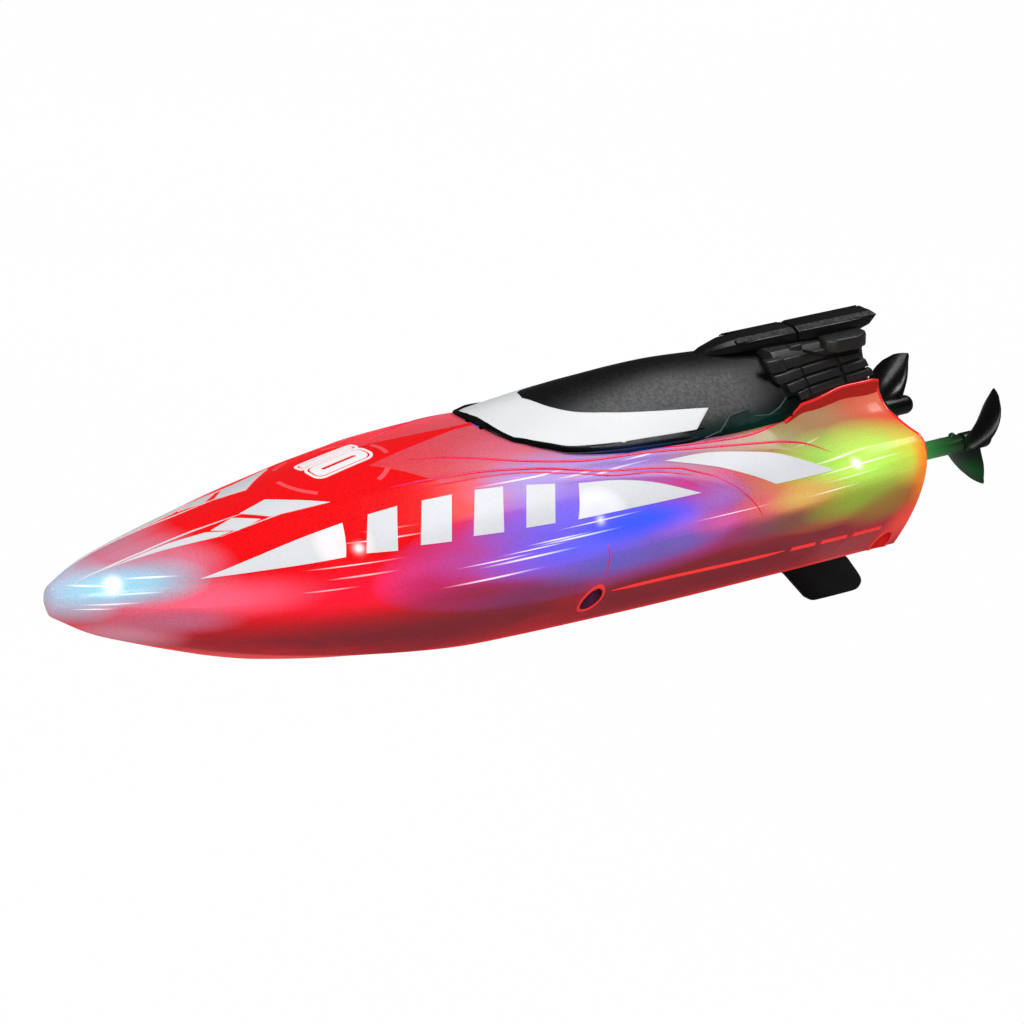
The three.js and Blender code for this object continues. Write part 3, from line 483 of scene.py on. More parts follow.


# Each painted glow of the lamps' light on the translucent shells: centre and radii in hull millimetres,
# colour in display levels, amount, and how sharply it fades.
GLOWS = (
    ((34, -50, 30), (34, 90, 9), (250, 24, 54), 1.0, 0.7),
    ((12, -114, 34), (20, 34, 14), (196, 120, 148), 0.75, 0.45),
    ((40, 14, 31), (18, 72, 17), (136, 92, 196), 0.9, 0.4),
    ((38, 104, 32), (26, 46, 17), (196, 140, 74), 1.0, 0.35),
    ((24, -94, 31), (22, 34, 7), (250, 100, 130), 0.85, 0.8),
    ((8, -117, 20), (16, 22, 8), (206, 140, 160), 0.9, 0.6),
    ((18, -104, 25), (12, 24, 5), (184, 104, 132), 0.85, 0.6),
    ((4, -114, 42), (14, 24, 6), (186, 124, 146), 0.9, 0.6),
    ((14, -101, 40), (12, 14, 5), (206, 124, 150), 0.7, 0.7),
    ((3, -130, 34), (18, 16, 10), (166, 184, 206), 1.0, 0.45),
    ((13, -111, 36), (13, 20, 6), (150, 186, 208), 1.0, 0.5),
    ((9, -121, 35.5), (12, 20, 5.5), (152, 212, 236), 1.0, 0.6),
    ((29, 32, 47), (16, 56, 9), (132, 112, 196), 1.0, 0.5),
    ((20, 0, 52), (18, 22, 7), (196, 92, 124), 0.7, 0.8),
    ((30, 2, 47), (14, 20, 7), (150, 128, 206), 1.0, 0.5),
    ((39, -33, 28), (14, 26, 6), (186, 34, 82), 0.9, 0.7),
    ((41, -24, 23), (14, 28, 5), (150, 36, 62), 0.9, 0.7),
    ((40, -4, 19), (14, 28, 6), (122, 48, 78), 0.8, 0.8),
    ((40, -17, 31), (12, 24, 6), (184, 80, 172), 0.85, 0.7),
    ((39, 6, 39), (14, 34, 9), (116, 104, 232), 1.0, 0.45),
    ((41, 12, 30), (14, 40, 8), (100, 102, 246), 1.0, 0.5),
    ((41, 22, 23), (14, 30, 5.5), (98, 98, 196), 0.9, 0.6),
    ((42, 42, 25), (14, 20, 6), (112, 98, 190), 0.9, 0.6),
    ((41, 44, 31), (12, 16, 5), (168, 106, 230), 0.95, 0.6),
    ((40, 30, 33.5), (12, 24, 5.5), (56, 92, 255), 1.0, 0.5),
    ((40, 57, 34), (12, 12, 6), (160, 106, 190), 0.9, 0.6),
    ((42, 57, 28), (12, 14, 4.5), (212, 96, 168), 0.9, 0.7),
    ((41, 72, 22), (12, 20, 6), (116, 70, 96), 0.85, 0.7),
    ((42, 71, 29), (12, 14, 5), (228, 104, 112), 0.9, 0.7),
    ((31, 66, 44), (12, 26, 5), (160, 112, 100), 0.9, 0.6),
    ((28, 88, 43), (14, 24, 7), (146, 142, 92), 1.0, 0.5),
    ((20, 108, 43), (14, 28, 8), (158, 128, 92), 1.0, 0.45),
    ((16, 132, 42), (14, 14, 7), (204, 112, 84), 0.95, 0.5),
    ((33, 98, 36), (16, 26, 7), (152, 210, 90), 1.0, 0.5),
    ((31, 116, 35.5), (16, 24, 6.5), (184, 216, 94), 1.0, 0.5),
    ((36, 129, 31), (12, 10, 10), (226, 206, 66), 0.9, 0.5),
    ((36, 112, 30.5), (16, 24, 8), (180, 236, 90), 1.0, 0.5),
    ((41, 86, 29), (12, 16, 4.5), (226, 190, 106), 0.9, 0.6),
    ((40, 86, 22), (12, 18, 5), (118, 82, 66), 0.85, 0.7),
    ((39, 108, 23), (14, 24, 6.5), (140, 172, 56), 0.95, 0.5),
    ((36, 121, 17.5), (12, 18, 7), (148, 116, 48), 0.9, 0.5),
    ((28, 114, 5), (14, 24, 6), (146, 62, 64), 0.6, 0.8),
    ((36, 135, 25), (9, 7, 24), (250, 132, 36), 1.0, 0.6),
    ((32, 132, 8), (14, 10, 12), (252, 74, 56), 0.95, 0.6),
)
# Painted bright middles of the lamps' light on the shells: centre, radius, and how bright.
CORES = (((9.6, -119.5, 36.2), 1.7, 1), ((31, -56.4, 39.9), 1.2, 0.8), ((39.6, 16.2, 35.7), 1.1, 0.55),
         ((36.3, 107.6, 33), 1.3, 0.85))
# Painted glints, thin lines of light along the shells: centre, half length, and half width.
STREAKS = (
    ((10, -118, 31.6), 13, 0.35), ((12, -108, 37.5), 12, 0.3), ((12, -112, 34), 11, 0.3),
    ((6, -124, 36.2), 9, 0.3), ((8, -124, 30.4), 8, 0.25), ((37, -60, 33.6), 14, 0.35),
    ((36, -70, 31), 12, 0.3), ((33, -50, 43), 14, 0.25), ((32, -50, 41.2), 18, 0.25),
    ((34, -62, 36.5), 20, 0.25), ((41, -8, 30.2), 18, 0.4), ((41, -20, 27), 18, 0.35),
    ((41, 8, 32.8), 16, 0.35), ((39, 22, 38.6), 14, 0.25), ((33, 30, 45.6), 18, 0.3),
    ((30, -2, 47.8), 22, 0.25), ((39, 16, 35.7), 16, 0.25), ((37, 106, 35.8), 17, 0.4),
    ((36, 103, 31), 16, 0.35), ((38, 96, 28.6), 13, 0.3), ((36, 110, 38.4), 16, 0.3),
    ((36, 108, 33), 20, 0.25), ((34, 100, 40.6), 14, 0.25), ((40, 60, 29.5), 16, 0.25),
    ((41, 2, 33.4), 12, 0.3), ((41, -6, 32.2), 13, 0.25), ((40, -18, 31.2), 14, 0.25),
    ((33, 16, 46.4), 11, 0.3), ((31, 38, 46.8), 10, 0.25),
)


def shell_paint(name, see_through, frost):
    """Frosted red plastic. The light of the boat's lamps inside is painted on as colour and emission,
    and the whole shell gives an even painted glow. see_through is the most it lets pass.
    """
    p = Paint(name)
    height = p.minus(p.z, SHIFT_Z * 0.001)
    along = p.minus(p.y, SHIFT_Y * 0.001)
    grain = p.noise(2600, 2, 0.7)
    cloud = p.noise(34, 4, 0.6, (1, 0.35, 1))
    # Darker towards the bottom: the lower hull is painted a deeper red than the deck, a painted shade of
    # the underside, with random changes of tone.
    deck = srgb(238, 12, 20)
    belly = p.blend(p.ramp(cloud, 0.35, 0.7), srgb(140, 44, 54), srgb(196, 46, 54))
    color = p.blend(p.ramp(height, 0.014, 0.029), belly, deck)
    # The panel over the two creases is matt, and looks paler.
    crease = p.minus(0.0497, p.times(p.ramp(along, -0.016, 0.042, smooth=False), 0.0066))
    crease = p.minus(crease, p.times(p.ramp(along, 0.042, 0.080, smooth=False), 0.0195))
    matt = p.ramp(p.minus(height, crease), -0.0002, 0.0004)
    front = p.plus(along, p.times(p.x, -0.85))
    matt = p.times(matt, p.ramp(front, -0.0443, -0.0437))
    spine = p.minus(p.x, p.ramp(along, -0.038, -0.006, 0.0068, 0.0008, smooth=False))
    matt = p.times(matt, p.ramp(spine, 0, 0.0006))
    matt = p.times(matt, p.ramp(along, 0.080, 0.040))
    color = p.blend(p.times(matt, p.ramp(along, -0.040, 0.004, 0.25, 0.62)), color, srgb(186, 96, 116))
    # Painted lamp light: each glow tints the colour and adds to the emission.
    glow = None
    for centre, radii, tint, amount, power in GLOWS:
        fade = p.times(p.near(centre, radii, power), amount)
        color = p.blend(fade, color, srgb(*tint))
        glow = fade if glow is None else p.most(glow, fade)
    # Painted bright middles of the lamps and painted glints along the shells, drawn near white.
    white = None
    for centre, radius, bright in CORES:
        for scale, power in ((1, 1.5), (4.5, 5)):
            fade = p.times(p.near(centre, (radius * scale,) * 3, power), bright)
            white = fade if white is None else p.most(white, fade)
    for centre, length, width in STREAKS:
        white = p.most(white, p.times(p.near(centre, (6, length, width), 0.8), 0.7))
    speck = p.times(p.ramp(grain, 0.35, 0.75), p.plus(0.025, p.times(matt, 0.16)))
    color = p.blend(speck, color, srgb(236, 150, 150))
    color = p.blend(p.times(p.ramp(grain, 0.55, 0.25), 0.22), color, srgb(70, 6, 12))
    # Painted rim glow: at grazing angles the colour turns a brighter red and gives more light.
    rim = p.node("LayerWeight", {"Blend": 0.5}).outputs["Facing"]
    edge = p.times(p.ramp(rim, 0.66, 0.95), p.minus(1, p.most(white, glow)))
    color = p.blend(p.times(edge, 0.7), color, srgb(255, 30, 36))
    color = p.blend(white, color, (1, 0.98, 1))
    # Emission is painted light: an even glow all over, more at the painted lamp glows, cores, glints and
    # rim.
    painted_light_strength = p.plus(p.times(glow, 0.18), p.times(white, 0.75))
    painted_light_strength = p.plus(painted_light_strength, p.plus(0.34, p.times(edge, 0.3)))
    rough = p.plus(p.ramp(grain, 0.3, 0.7, 0.10, 0.10 + frost), p.times(matt, 0.3))
    surface = p.shade(color, rough, Emission_Color=color, Emission_Strength=painted_light_strength, IOR=1.45,
                      Specular_IOR_Level=p.plus(0.28, p.times(matt, 0.3)),
                      Normal=p.bump(grain, 0.04, 0.00006))
    clear = p.node("BsdfTransparent", {0: p.blend(0.5, color, (1, 0.3, 0.3))}).outputs[0]
    open_share = p.times(p.minus(1, rim), see_through)
    open_share = p.times(open_share, p.minus(1, p.most(white, p.times(glow, 0.6))))
    return p.finish(p.node("MixShader", {0: open_share, 1: surface, 2: clear}).outputs[0])


def plastic(name, color, rough, depth=0.03, tone=0.25, coat=0.0, gloss=0.5, painted_glow=0.0, glow=()):
    """Moulded plastic with a fine grain and slight changes of tone. The even light it gives of itself is a
    painted glow, as none of these parts is a lamp, and glow adds painted lit places from the lamps as
    (centre, radii, colour)."""
    p = Paint(name)
    fine, broad = p.noise(GRAIN, 3), p.noise(CLOUD, 4)
    dark = tuple(c * (1 - tone) for c in color)
    shade = p.blend(p.ramp(broad, 0.3, 0.7), dark, color)
    shade = p.blend(p.times(fine, 0.18), shade, tuple(min(c * 1.5 + 0.001, 1) for c in color))
    light = painted_glow
    lit = shade
    for centre, radii, tint in glow:
        fade = p.near(centre, radii)
        lit = p.blend(fade, lit, tint)
        light = p.most(light, fade)
    more = {"Emission_Color": lit, "Emission_Strength": light} if glow or painted_glow else {}
    return p.finish(p.shade(shade, p.ramp(fine, 0.3, 0.7, rough * 0.85, min(rough * 1.2, 1)),
                            Coat_Weight=coat, Coat_Roughness=0.05, Specular_IOR_Level=gloss,
                            Normal=p.bump(fine, 0.25, depth * 0.001), **more))


def canopy_paint():
    """Charcoal plastic, painted darker at its foot as a painted shade where it meets the deck, with a
    painted glow where the boat's blue and green lamps light it.
    """
    p = Paint("canopy_charcoal")
    fine, broad = p.noise(GRAIN, 3), p.noise(CLOUD, 4)
    # Painted shade at the foot, and painted glow of the blue and green lamps.
    foot = p.ramp(p.minus(p.z, SHIFT_Z * 0.001), 0.0525, 0.0480)
    shade = p.blend(p.ramp(broad, 0.3, 0.7), (0.0040, 0.0041, 0.0045), (0.0050, 0.0051, 0.0055))
    shade = p.blend(foot, shade, (0.001, 0.002, 0.002))
    blue = p.near((26, 34, 48), (9, 34, 2.8))
    lit = p.blend(blue, (0.0005, 0.014, 0.012), (0.002, 0.012, 0.075))
    light = p.most(blue, p.times(foot, p.near((26, 74, 47), (12, 24, 8), 0.5)))
    gloss = p.times(p.minus(1, p.times(foot, 0.85)), 0.22)
    return p.finish(p.shade(shade, p.ramp(fine, 0.3, 0.7, 0.29, 0.41), Emission_Color=lit,
                            Emission_Strength=light, Specular_IOR_Level=gloss,
                            Normal=p.bump(fine, 0.25, 0.0000012)))


def metal(name, color, rough):
    """Metal with fine lines, drawn across the boat."""
    p = Paint(name)
    lines = p.noise(300, 2, 0.6, (1, 40, 1))
    shade = p.blend(p.ramp(lines, 0.3, 0.7), tuple(c * 0.8 for c in color), color)
    return p.finish(p.shade(shade, p.ramp(lines, 0.3, 0.7, rough, rough * 1.7), Metallic=1.0,
                            Normal=p.bump(lines, 0.1, 0.00002)))


def lamp_paint(name, color):
    """A lit light: bright and pale at the middle, coloured at the rim."""
    p = Paint(name)
    rim = p.node("LayerWeight", {"Blend": 0.4}).outputs["Facing"]
    tint = p.blend(rim, tuple(mix(c, 1, 0.6) for c in color), color)
    cells = p.noise(1500, 1)
    return p.finish(p.shade(tint, 0.1, Emission_Color=tint,
                            Emission_Strength=p.ramp(cells, 0.2, 0.8, 3.0, 5.0)))


def board_paint():
    """Green circuit board with paler tracks."""
    p = Paint("board_green")
    tracks = p.node("TexBrick", {
        "Vector": p.place, "Scale": 260.0, "Mortar Size": 0.03,
        "Color1": (0, 0, 0), "Color2": (0, 0, 0), "Mortar": (1, 1, 1)}).outputs[0]
    color = p.blend(tracks, (0.012, 0.10, 0.035), (0.06, 0.28, 0.10))
    return p.finish(p.shade(color, 0.35, Coat_Weight=0.5, Normal=p.bump(tracks, 0.3, 0.0001)))


def woven(name, color):
    """Close webbing."""
    p = Paint(name)
    across = p.node("TexWave", {"Vector": p.place, "Scale": 900.0, "Distortion": 0.4}).outputs[0]
    return p.finish(p.shade(p.blend(across, tuple(c * 0.5 for c in color), color), 0.85, Sheen_Weight=0.4,
                            Normal=p.bump(across, 0.6, 0.0002)))


SHELL = shell_paint("shell_red", 0.2, 0.14)
SHELL_INSIDE = shell_paint("shell_red_inside", 0.5, 0.3)
CHARCOAL = canopy_paint()
# Painted blue lamp light on the canopy's rim.
RIM_BLACK = plastic("rim_black", (0.0015, 0.0015, 0.0018), 0.3, depth=0.002, tone=0.1, gloss=0.12,
                    glow=(((26, 30, 48), (8, 30, 4), (0.002, 0.010, 0.06)),))
# Painted green lamp light on the step and its ledge.
STEP_DARK = plastic("step_dark", (0.0012, 0.0045, 0.004), 0.4, depth=0.002, tone=0.1, gloss=0.06,
                    glow=(((25, 80, 48), (12, 26, 8), (0.001, 0.017, 0.012)),))
LEDGE = plastic("step_ledge", (0.012, 0.022, 0.02), 0.4, depth=0.002, tone=0.1, gloss=0.2,
                glow=(((25, 80, 48), (16, 40, 12), (0.02, 0.055, 0.045)),))
# The white parts give an even painted glow; the decals also carry painted red and blue lamp light.
WHITE = plastic("windscreen_white", (0.70, 0.71, 0.73), 0.3, tone=0.04, depth=0.002, gloss=0.15, painted_glow=0.26)
NUMBER = plastic("number_white", (0.84, 0.84, 0.86), 0.4, tone=0.03, depth=0.002, gloss=0.2, painted_glow=0.3)
DECAL = plastic("decal_white", (0.76, 0.77, 0.80), 0.3, tone=0.04, depth=0.002, gloss=0.3, painted_glow=0.14,
                glow=(((30, -60, 42), (14, 12, 10), (0.5, 0.2, 0.2)),
                      ((39, 16, 38), (12, 14, 10), (0.25, 0.25, 0.6))))
BLACK = plastic("cowl_black", (0.019, 0.019, 0.0195), 0.42, gloss=0.42, depth=0.02, tone=0.15)
STRIP = plastic("strip_black", (0.009, 0.009, 0.0095), 0.5, gloss=0.18, depth=0.01, tone=0.1)
WING = plastic("wing_black", (0.005, 0.005, 0.0055), 0.32, gloss=0.28, depth=0.02, tone=0.15)
# Painted green lamp light on the stern tube and the lower blades.
PROP_BLACK = plastic("drive_black", (0.003, 0.0035, 0.0032), 0.24, depth=0.002, coat=0.05, tone=0.1,
                     gloss=0.24,
                     glow=(((SHAFT_X, 136, SHAFT_Z), (16, 34, 16), (0.06, 0.42, 0.09)),
                           ((SHAFT_X - 2, 166, SHAFT_Z - 12), (14, 16, 11), (0.001, 0.05, 0.008))))
# A painted red glow over all the red trim.
TRIM_RED = plastic("trim_red", (0.85, 0.02, 0.02), 0.18, depth=0.004, coat=0.5, tone=0.1,
                   glow=(((34, 60, 20), (60, 190, 60), (0.55, 0.02, 0.015)),))
# Painted shade: the dark walls inside the bow and middle screw recesses.
RECESS_SHADE_RED = plastic("recess_painted_shade", (0.09, 0.012, 0.05), 0.4, depth=0.004, tone=0.2, gloss=0.2)
# A pinker red with a painted glow: a painted highlight along the raised crease lines.
CREASE_RED = plastic("crease_red", (0.80, 0.014, 0.09), 0.3, depth=0.004, tone=0.1, painted_glow=0.25)
# The pale red, dark red and recess red give an even painted glow.
PALE_RED = plastic("trim_pale_red", (0.80, 0.085, 0.10), 0.4, depth=0.004, tone=0.1, gloss=0.2, painted_glow=0.3)
RIM_RED = plastic("rim_dark_red", (0.42, 0.018, 0.014), 0.35, depth=0.002, tone=0.06, gloss=0.2, painted_glow=0.15)
RECESS_RED = plastic("recess_red", (0.62, 0.012, 0.012), 0.3, depth=0.004, tone=0.1, gloss=0.2, painted_glow=0.2)
RUBBER = plastic("gasket_rubber", (0.02, 0.02, 0.02), 0.8, depth=0.02)
INNER = plastic("inner_white", (0.80, 0.80, 0.77), 0.45)
WRAP = plastic("battery_wrap", (0.03, 0.10, 0.42), 0.25, coat=0.5)
SLATE = plastic("can_slate", (0.04, 0.06, 0.09), 0.35)
STEEL = metal("steel", (0.62, 0.63, 0.65), 0.18)
BRASS = metal("brass", (0.75, 0.55, 0.22), 0.2)
WEBBING = woven("strap_webbing", (0.03, 0.03, 0.032))
BOARD = board_paint()

LOOKS = {
    "hatch_gasket": RUBBER, "skeg_screw": STEEL, "motor_mount": INNER, "battery_tray": INNER,
    "battery_pack": WRAP, "battery_strap": WEBBING, "circuit_board": BOARD, "control_chip": BLACK,
    "radio_module": STEEL, "motor_driver": BLACK, "capacitor": SLATE, "switch_bracket": INNER,
    "power_switch": BLACK, "switch_slider": WHITE, "bow_lamp_holder": BLACK,
    "bow_lamp": lamp_paint("lamp_cyan", (0.25, 0.85, 1.0)), "bow_hull_screw": STEEL,
}
RED_LAMP = lamp_paint("lamp_red", (1.0, 0.10, 0.08))
BLUE_LAMP = lamp_paint("lamp_blue", (0.10, 0.16, 1.0))
GREEN_LAMP = lamp_paint("lamp_green", (0.25, 1.0, 0.15))
for side_name, _ in SIDES:
    LOOKS.update({f"{side_name}_{piece}": look for piece, look in (
        ("mid_hull_screw", STEEL), ("stern_hull_screw", STEEL), ("shaft", STEEL), ("coupling", BRASS),
        ("motor_output", STEEL), ("motor", STEEL), ("motor_cap", INNER), ("light_bar", INNER),
        ("red_lamp", RED_LAMP), ("blue_lamp", BLUE_LAMP), ("green_lamp", GREEN_LAMP),
        ("water_contact", STEEL))})
for node_name, look in LOOKS.items():
    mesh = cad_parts[node_name].data
    mesh.materials.clear()
    mesh.materials.append(look)
    smooth(mesh)

# ---- Hull shells ---------------------------------------------------------------------------------
SPACING = 2.2
FIRST_Y, LAST_Y = BOW_Y + 1.3, TRANSOM_Y - 1.3  # the full sections nearest the two ends
STATIONS = spread(FIRST_Y, LAST_Y, int((LAST_Y - FIRST_Y) / SPACING))
# How the ends close: share of the nearest full section, and millimetres aft of the bow or the transom.
NOSE = ((0.02, 0), (0.3, 0.06), (0.6, 0.26), (0.8, 0.52), (0.93, 0.85))
TAIL = ((0.991, -0.95), (0.982, -0.55), (0.966, -0.2), (0.945, 0), (0.8, 0), (0.55, 0), (0.3, 0), (0.02, 0))


def mirrored(half, y):
    """A whole row from its port half, given as (x, z) from the side to the middle."""
    return [(x, y, z) for x, z in half] + [(-x, y, z) for x, z in reversed(half[:-1])]


def shell_rows(half_at, lift):
    """Rows of a shell's outer surface, drawn together over the bow and the transom."""
    def row(section_y, y, share=1.0):
        base = beam_z(section_y) + lift
        return mirrored([(x * share, mix(base, z, share)) for x, z in half_at(section_y)], y)
    return ([row(FIRST_Y, BOW_Y + aft, share) for share, aft in NOSE] + [row(y, y) for y in STATIONS]
            + [row(LAST_Y, TRANSOM_Y + aft, share) for share, aft in TAIL])


def deck_section(y):
    half = deck_half(y)
    return [(half[0][0], half[0][1] + SEAM)] + half[1:]


def bottom_section(y):
    half = list(reversed(bottom_half(y)))
    return [(half[0][0], half[0][1] - SEAM)] + half[1:]


upper_deck = new_object("deck_shell", grid(shell_rows(deck_section, SEAM)), SHELL)
lower_hull = new_object("hull_shell", grid(shell_rows(bottom_section, -SEAM)), SHELL)
DECK = tree_of(upper_deck)
HULL = tree_of(upper_deck, lower_hull)
for shell in (upper_deck, lower_hull):
    shell.data.materials.append(SHELL_INSIDE)
    thick(shell, WALL, inner=1)

HATCH = [(0, 18), (8, 19.5), (13, 24), (16, 31), (16.5, 38), (16.5, 76), (14.5, 86), (12, 90), (0, 90)]
HATCH_RING = HATCH + [(-x, y) for x, y in reversed(HATCH[1:-1])]
HATCH_Y = 54.0  # its middle
hatch_plan = [(x * 0.915, HATCH_Y + (y - HATCH_Y) * 0.96) for x, y in curve(HATCH_RING, 4, closed=True)]
cut(upper_deck, prism("hatch_cutter", hatch_plan, 28, 80),
    prism("slot_cutter", [(-4.9, 0), (4.9, 0), (4.9, 8), (-4.9, 8)], 46, 70))
RECESS = 2.8
# Screws under the hull: place, and the height of the seat for the screw's head.
SCREWS = ((35, 16.5, 16), (-35, 16.5, 16), (24.5, 127, 8), (-24.5, 127, 8), (0, -100, 17))
SKEG_SCREW_Y, CONTACT_X, CONTACT_Y = 99, 6, 85


def upright_hole(radius, low, high, x, y, sides=24):
    """A cutter for an upright hole."""
    return turned("hole", [(0, low), (radius, low), (radius, high), (0, high)], x, 0, sides, axis="z", y=y)


cutters = [upright_hole(RECESS + 1.0, -14, seat + 2, x, y, 32) for x, y, seat in SCREWS]
cutters += [turned("bore", [(0, 130), (3.0, 130), (3.0, 140), (0, 140)], side * SHAFT_X, SHAFT_Z)
            for _, side in SIDES]
cutters += [upright_hole(1.7, -9, 0, side * CONTACT_X, CONTACT_Y) for _, side in SIDES]
cutters.append(upright_hole(1.7, -9, 0, 0, SKEG_SCREW_Y))
cut(lower_hull, *cutters)
place(upper_deck, "hull", "red_shell", "upper_deck")
place(lower_hull, "hull", "red_shell", "lower_hull")

# The sleeve round each screw recess stands a little proud of the hull, with a bright rim that has a painted
# red glow.
# The walls of the bow and middle recesses are painted dark as painted shade; the stern ones are a brighter
# red with a painted glow.
for number, (x, y, seat) in enumerate(SCREWS, 1):
    for part, radii, look in (("wall", (RECESS, RECESS + 0.35), RECESS_RED if y > 100 else RECESS_SHADE_RED),
                              ("rim", (RECESS + 0.4, RECESS + 1.1), TRIM_RED)):
        rows = []
        for radius in radii:
            low, high = [], []
            for a in around(48):
                u, v = x + radius * cos(a), y + radius * sin(a)
                hit = HULL.ray_cast(at(u, v, -30), UP)[0]
                start = seat - 4 if hit is None else hull_mm(hit)[2] - (0.3 if part == "rim" else 0.1)
                low.append((u, v, min(start, seat + 2)))
                high.append((u, v, max(seat + 3, start + 1)))
            rows += [low, high] if radius == radii[0] else [high, low]
        rows.append(rows[0])
        place(new_object(f"screw_{part}_{number}", grid(rows, rings=True), look, 40), "hull", "red_shell")

# ---- Canopy and windscreen -----------------------------------------------------------------------
CANOPY_NOSE, CANOPY_REAR = 0.5, 96.0
nose_plan = line((0, 0), (0.84, 8.7), (1.52, 13.1), (2.19, 16.5), (2.76, 19), (3.33, 21), (3.87, 22.7),
                 (4.37, 23.8), (5.25, 25.2), (5.93, 26))
canopy_plan = line((30, 26), (66, 26), (80, 25.3), (90, 23.6), (96, 21.4))
canopy_sill = line((0.5, 55.5), (1.2, 55.2), (2.6, 54.5), (4.6, 53.5), (7, 52.6), (10.5, 51.8),
                   (14.4, 51.0), (18.5, 50.4), (27, 49.6), (36, 49.0), (62, 47.6), (96, 47.4))
canopy_roof = line((0.5, 56), (1.6, 56.7), (5, 57.6), (16, 59.5), (33, 61.6), (60, 63), (78, 62),
                   (96, 60.4))


def canopy_width(y):
    """Half the canopy's width; near the nose it follows the root of the distance."""
    return canopy_plan(y) if y >= 34 else nose_plan(sqrt(max(y - CANOPY_NOSE, 0)))


def canopy_z(y, u):
    """The canopy's height at a share of its half width."""
    return canopy_sill(y) + (canopy_roof(y) - canopy_sill(y)) * (1 - abs(u) ** 1.65)


def deck_height(x, y):
    hit = DECK.ray_cast(*sight(x, y, "z"))[0]
    return beam_z(y) if hit is None else hull_mm(hit)[2]


def canopy_edge(y, above):
    """The widest share of the half width where the canopy is still above the deck."""
    width = canopy_width(y)
    low, high = 0.0, 1.0
    if canopy_z(y, 1) >= deck_height(width, y) + above:
        return 1.0
    for _ in range(18):
        middle = (low + high) / 2
        if canopy_z(y, middle) > deck_height(middle * width, y) + above:
            low = middle
        else:
            high = middle
    return low


rows = []
for k in range(65):
    y = mix(CANOPY_NOSE + 0.12, CANOPY_REAR, (k / 64) ** 2)
    width, edge = canopy_width(y), canopy_edge(y, GAP)
    half = [(u * width, y, canopy_z(y, u)) for u in
            (edge * sin(pi / 2 * i / 16) for i in range(17))]
    flare = 0.9 * min(max((64 - y) / 8, 0), 1) * min(width / 26, 1)
    top = half[-1][2]
    foot = min(deck_height(width * edge + flare, y) + GAP, top - 0.01)
    half += [(width * edge + flare * out, y, mix(top, foot, down)) for out, down in
             ((0.45, 0.12), (0.8, 0.35), (1, 0.65), (0.95, 1))]
    rows.append([(-x, b, z) for x, b, z in reversed(half[1:])] + half)
rows += [[(x * share, CANOPY_REAR + 0.05, mix(50, z, share) if z > 50 else z) for x, _, z in rows[-1]]
         for share in (0.985, 0.8, 0.4, 0.02)]
canopy = new_object("canopy_shell", grid(rows), CHARCOAL, 40)
CANOPY = tree_of(canopy)
thick(canopy, LID_WALL)
place(canopy, "lid", "charcoal", "canopy")
tongue = prism("canopy_tongue", [(-4.5, -9), (4.5, -9), (4.5, 3.4), (-4.5, 3.4)], 51, 52.5, CHARCOAL)
place(bevelled(tongue, 0.4), "lid", "charcoal")


def foot_point(y, out=0.0):
    """A point on the canopy's foot seen from above, moved outwards by a distance."""
    def plain(y):
        return Vector((canopy_width(y) * canopy_edge(y, GAP), y))
    along = plain(y + 0.15) - plain(y - 0.05)
    return plain(y) + Vector((along.y, -along.x)).normalized() * out


# A black rim runs round the canopy's foot, from the nose to the back of the windscreen. Its section is
# given as the distance out from the foot, and the height over the canopy or over the deck.
RIM_SECTION = ((-1.6, 0.2, True), (-1.6, -0.8, True), (-0.6, 0, False), (0.2, 0, False), (0.35, 0.5, False),
               (0, 1.0, False), (-0.7, 1.25, False))
rows = []
marks = [CANOPY_NOSE + 0.2 + 62 * (k / 44) ** 2 for k in range(45)]
for side, path in ((1, reversed(marks)), (-1, marks[1:])):
    for y in path:
        section = []
        fade = min((CANOPY_NOSE + 64 - y) / 10, 0.5 + y / 20, 1)
        for out, up, on_canopy in RIM_SECTION:
            p = foot_point(y, out * (fade if out > 0 else 1))
            if on_canopy:
                width = max(canopy_width(max(p.y, CANOPY_NOSE + 0.1)), 0.1)
                z = canopy_z(p.y, min(abs(p.x) / width, 1)) + up
            else:
                z = deck_height(p.x, p.y) + GAP + up * fade
            section.append((side * max(p.x, 0), p.y, z))
        rows.append(section)
place(solid("canopy_rim", rows, RIM_BLACK, 40), "lid", "charcoal")

# A step patch on the canopy's foot with a pale ledge over it, and a heel aft of it beside the cowl.
STEP = ((66.2, 46.4), (67.2, 47.6), (72.6, 50.3), (79.4, 50.6), (80.6, 48.9), (86, 48.2), (91, 48.9),
        (95.8, 50.2), (95.8, 46.4))
for side_name, side in SIDES:
    place(laid(f"{side_name}_canopy_step", STEP, CANOPY, "x", STEP_DARK, side, proud=0.3, depth=0.6),
          "lid", "charcoal")
    raised(f"{side_name}_step_ledge", STEP[:8], CANOPY, "x", LEDGE, 0.45, side, False, "lid", "charcoal")
    rows = []
    for y, x in ((94.6, 22.0), (97, 20.6), (100, 18.8), (103, 17.0), (106, 15.4)):
        foot = deck_height(x, y) + GAP
        rows.append([(side * 10, y, foot + 0.2), (side * x, y, foot), (side * (x - 0.2), y, foot + 1.4),
                     (side * (x - 1.6), y, mix(49.4, 48.4, (y - 94.6) / 11.4)), (side * 10, y, 48.6)])
    heel = solid(f"{side_name}_canopy_heel", rows, STEP_DARK, 30)
    place(bevelled(heel, 0.25), "lid", "charcoal")

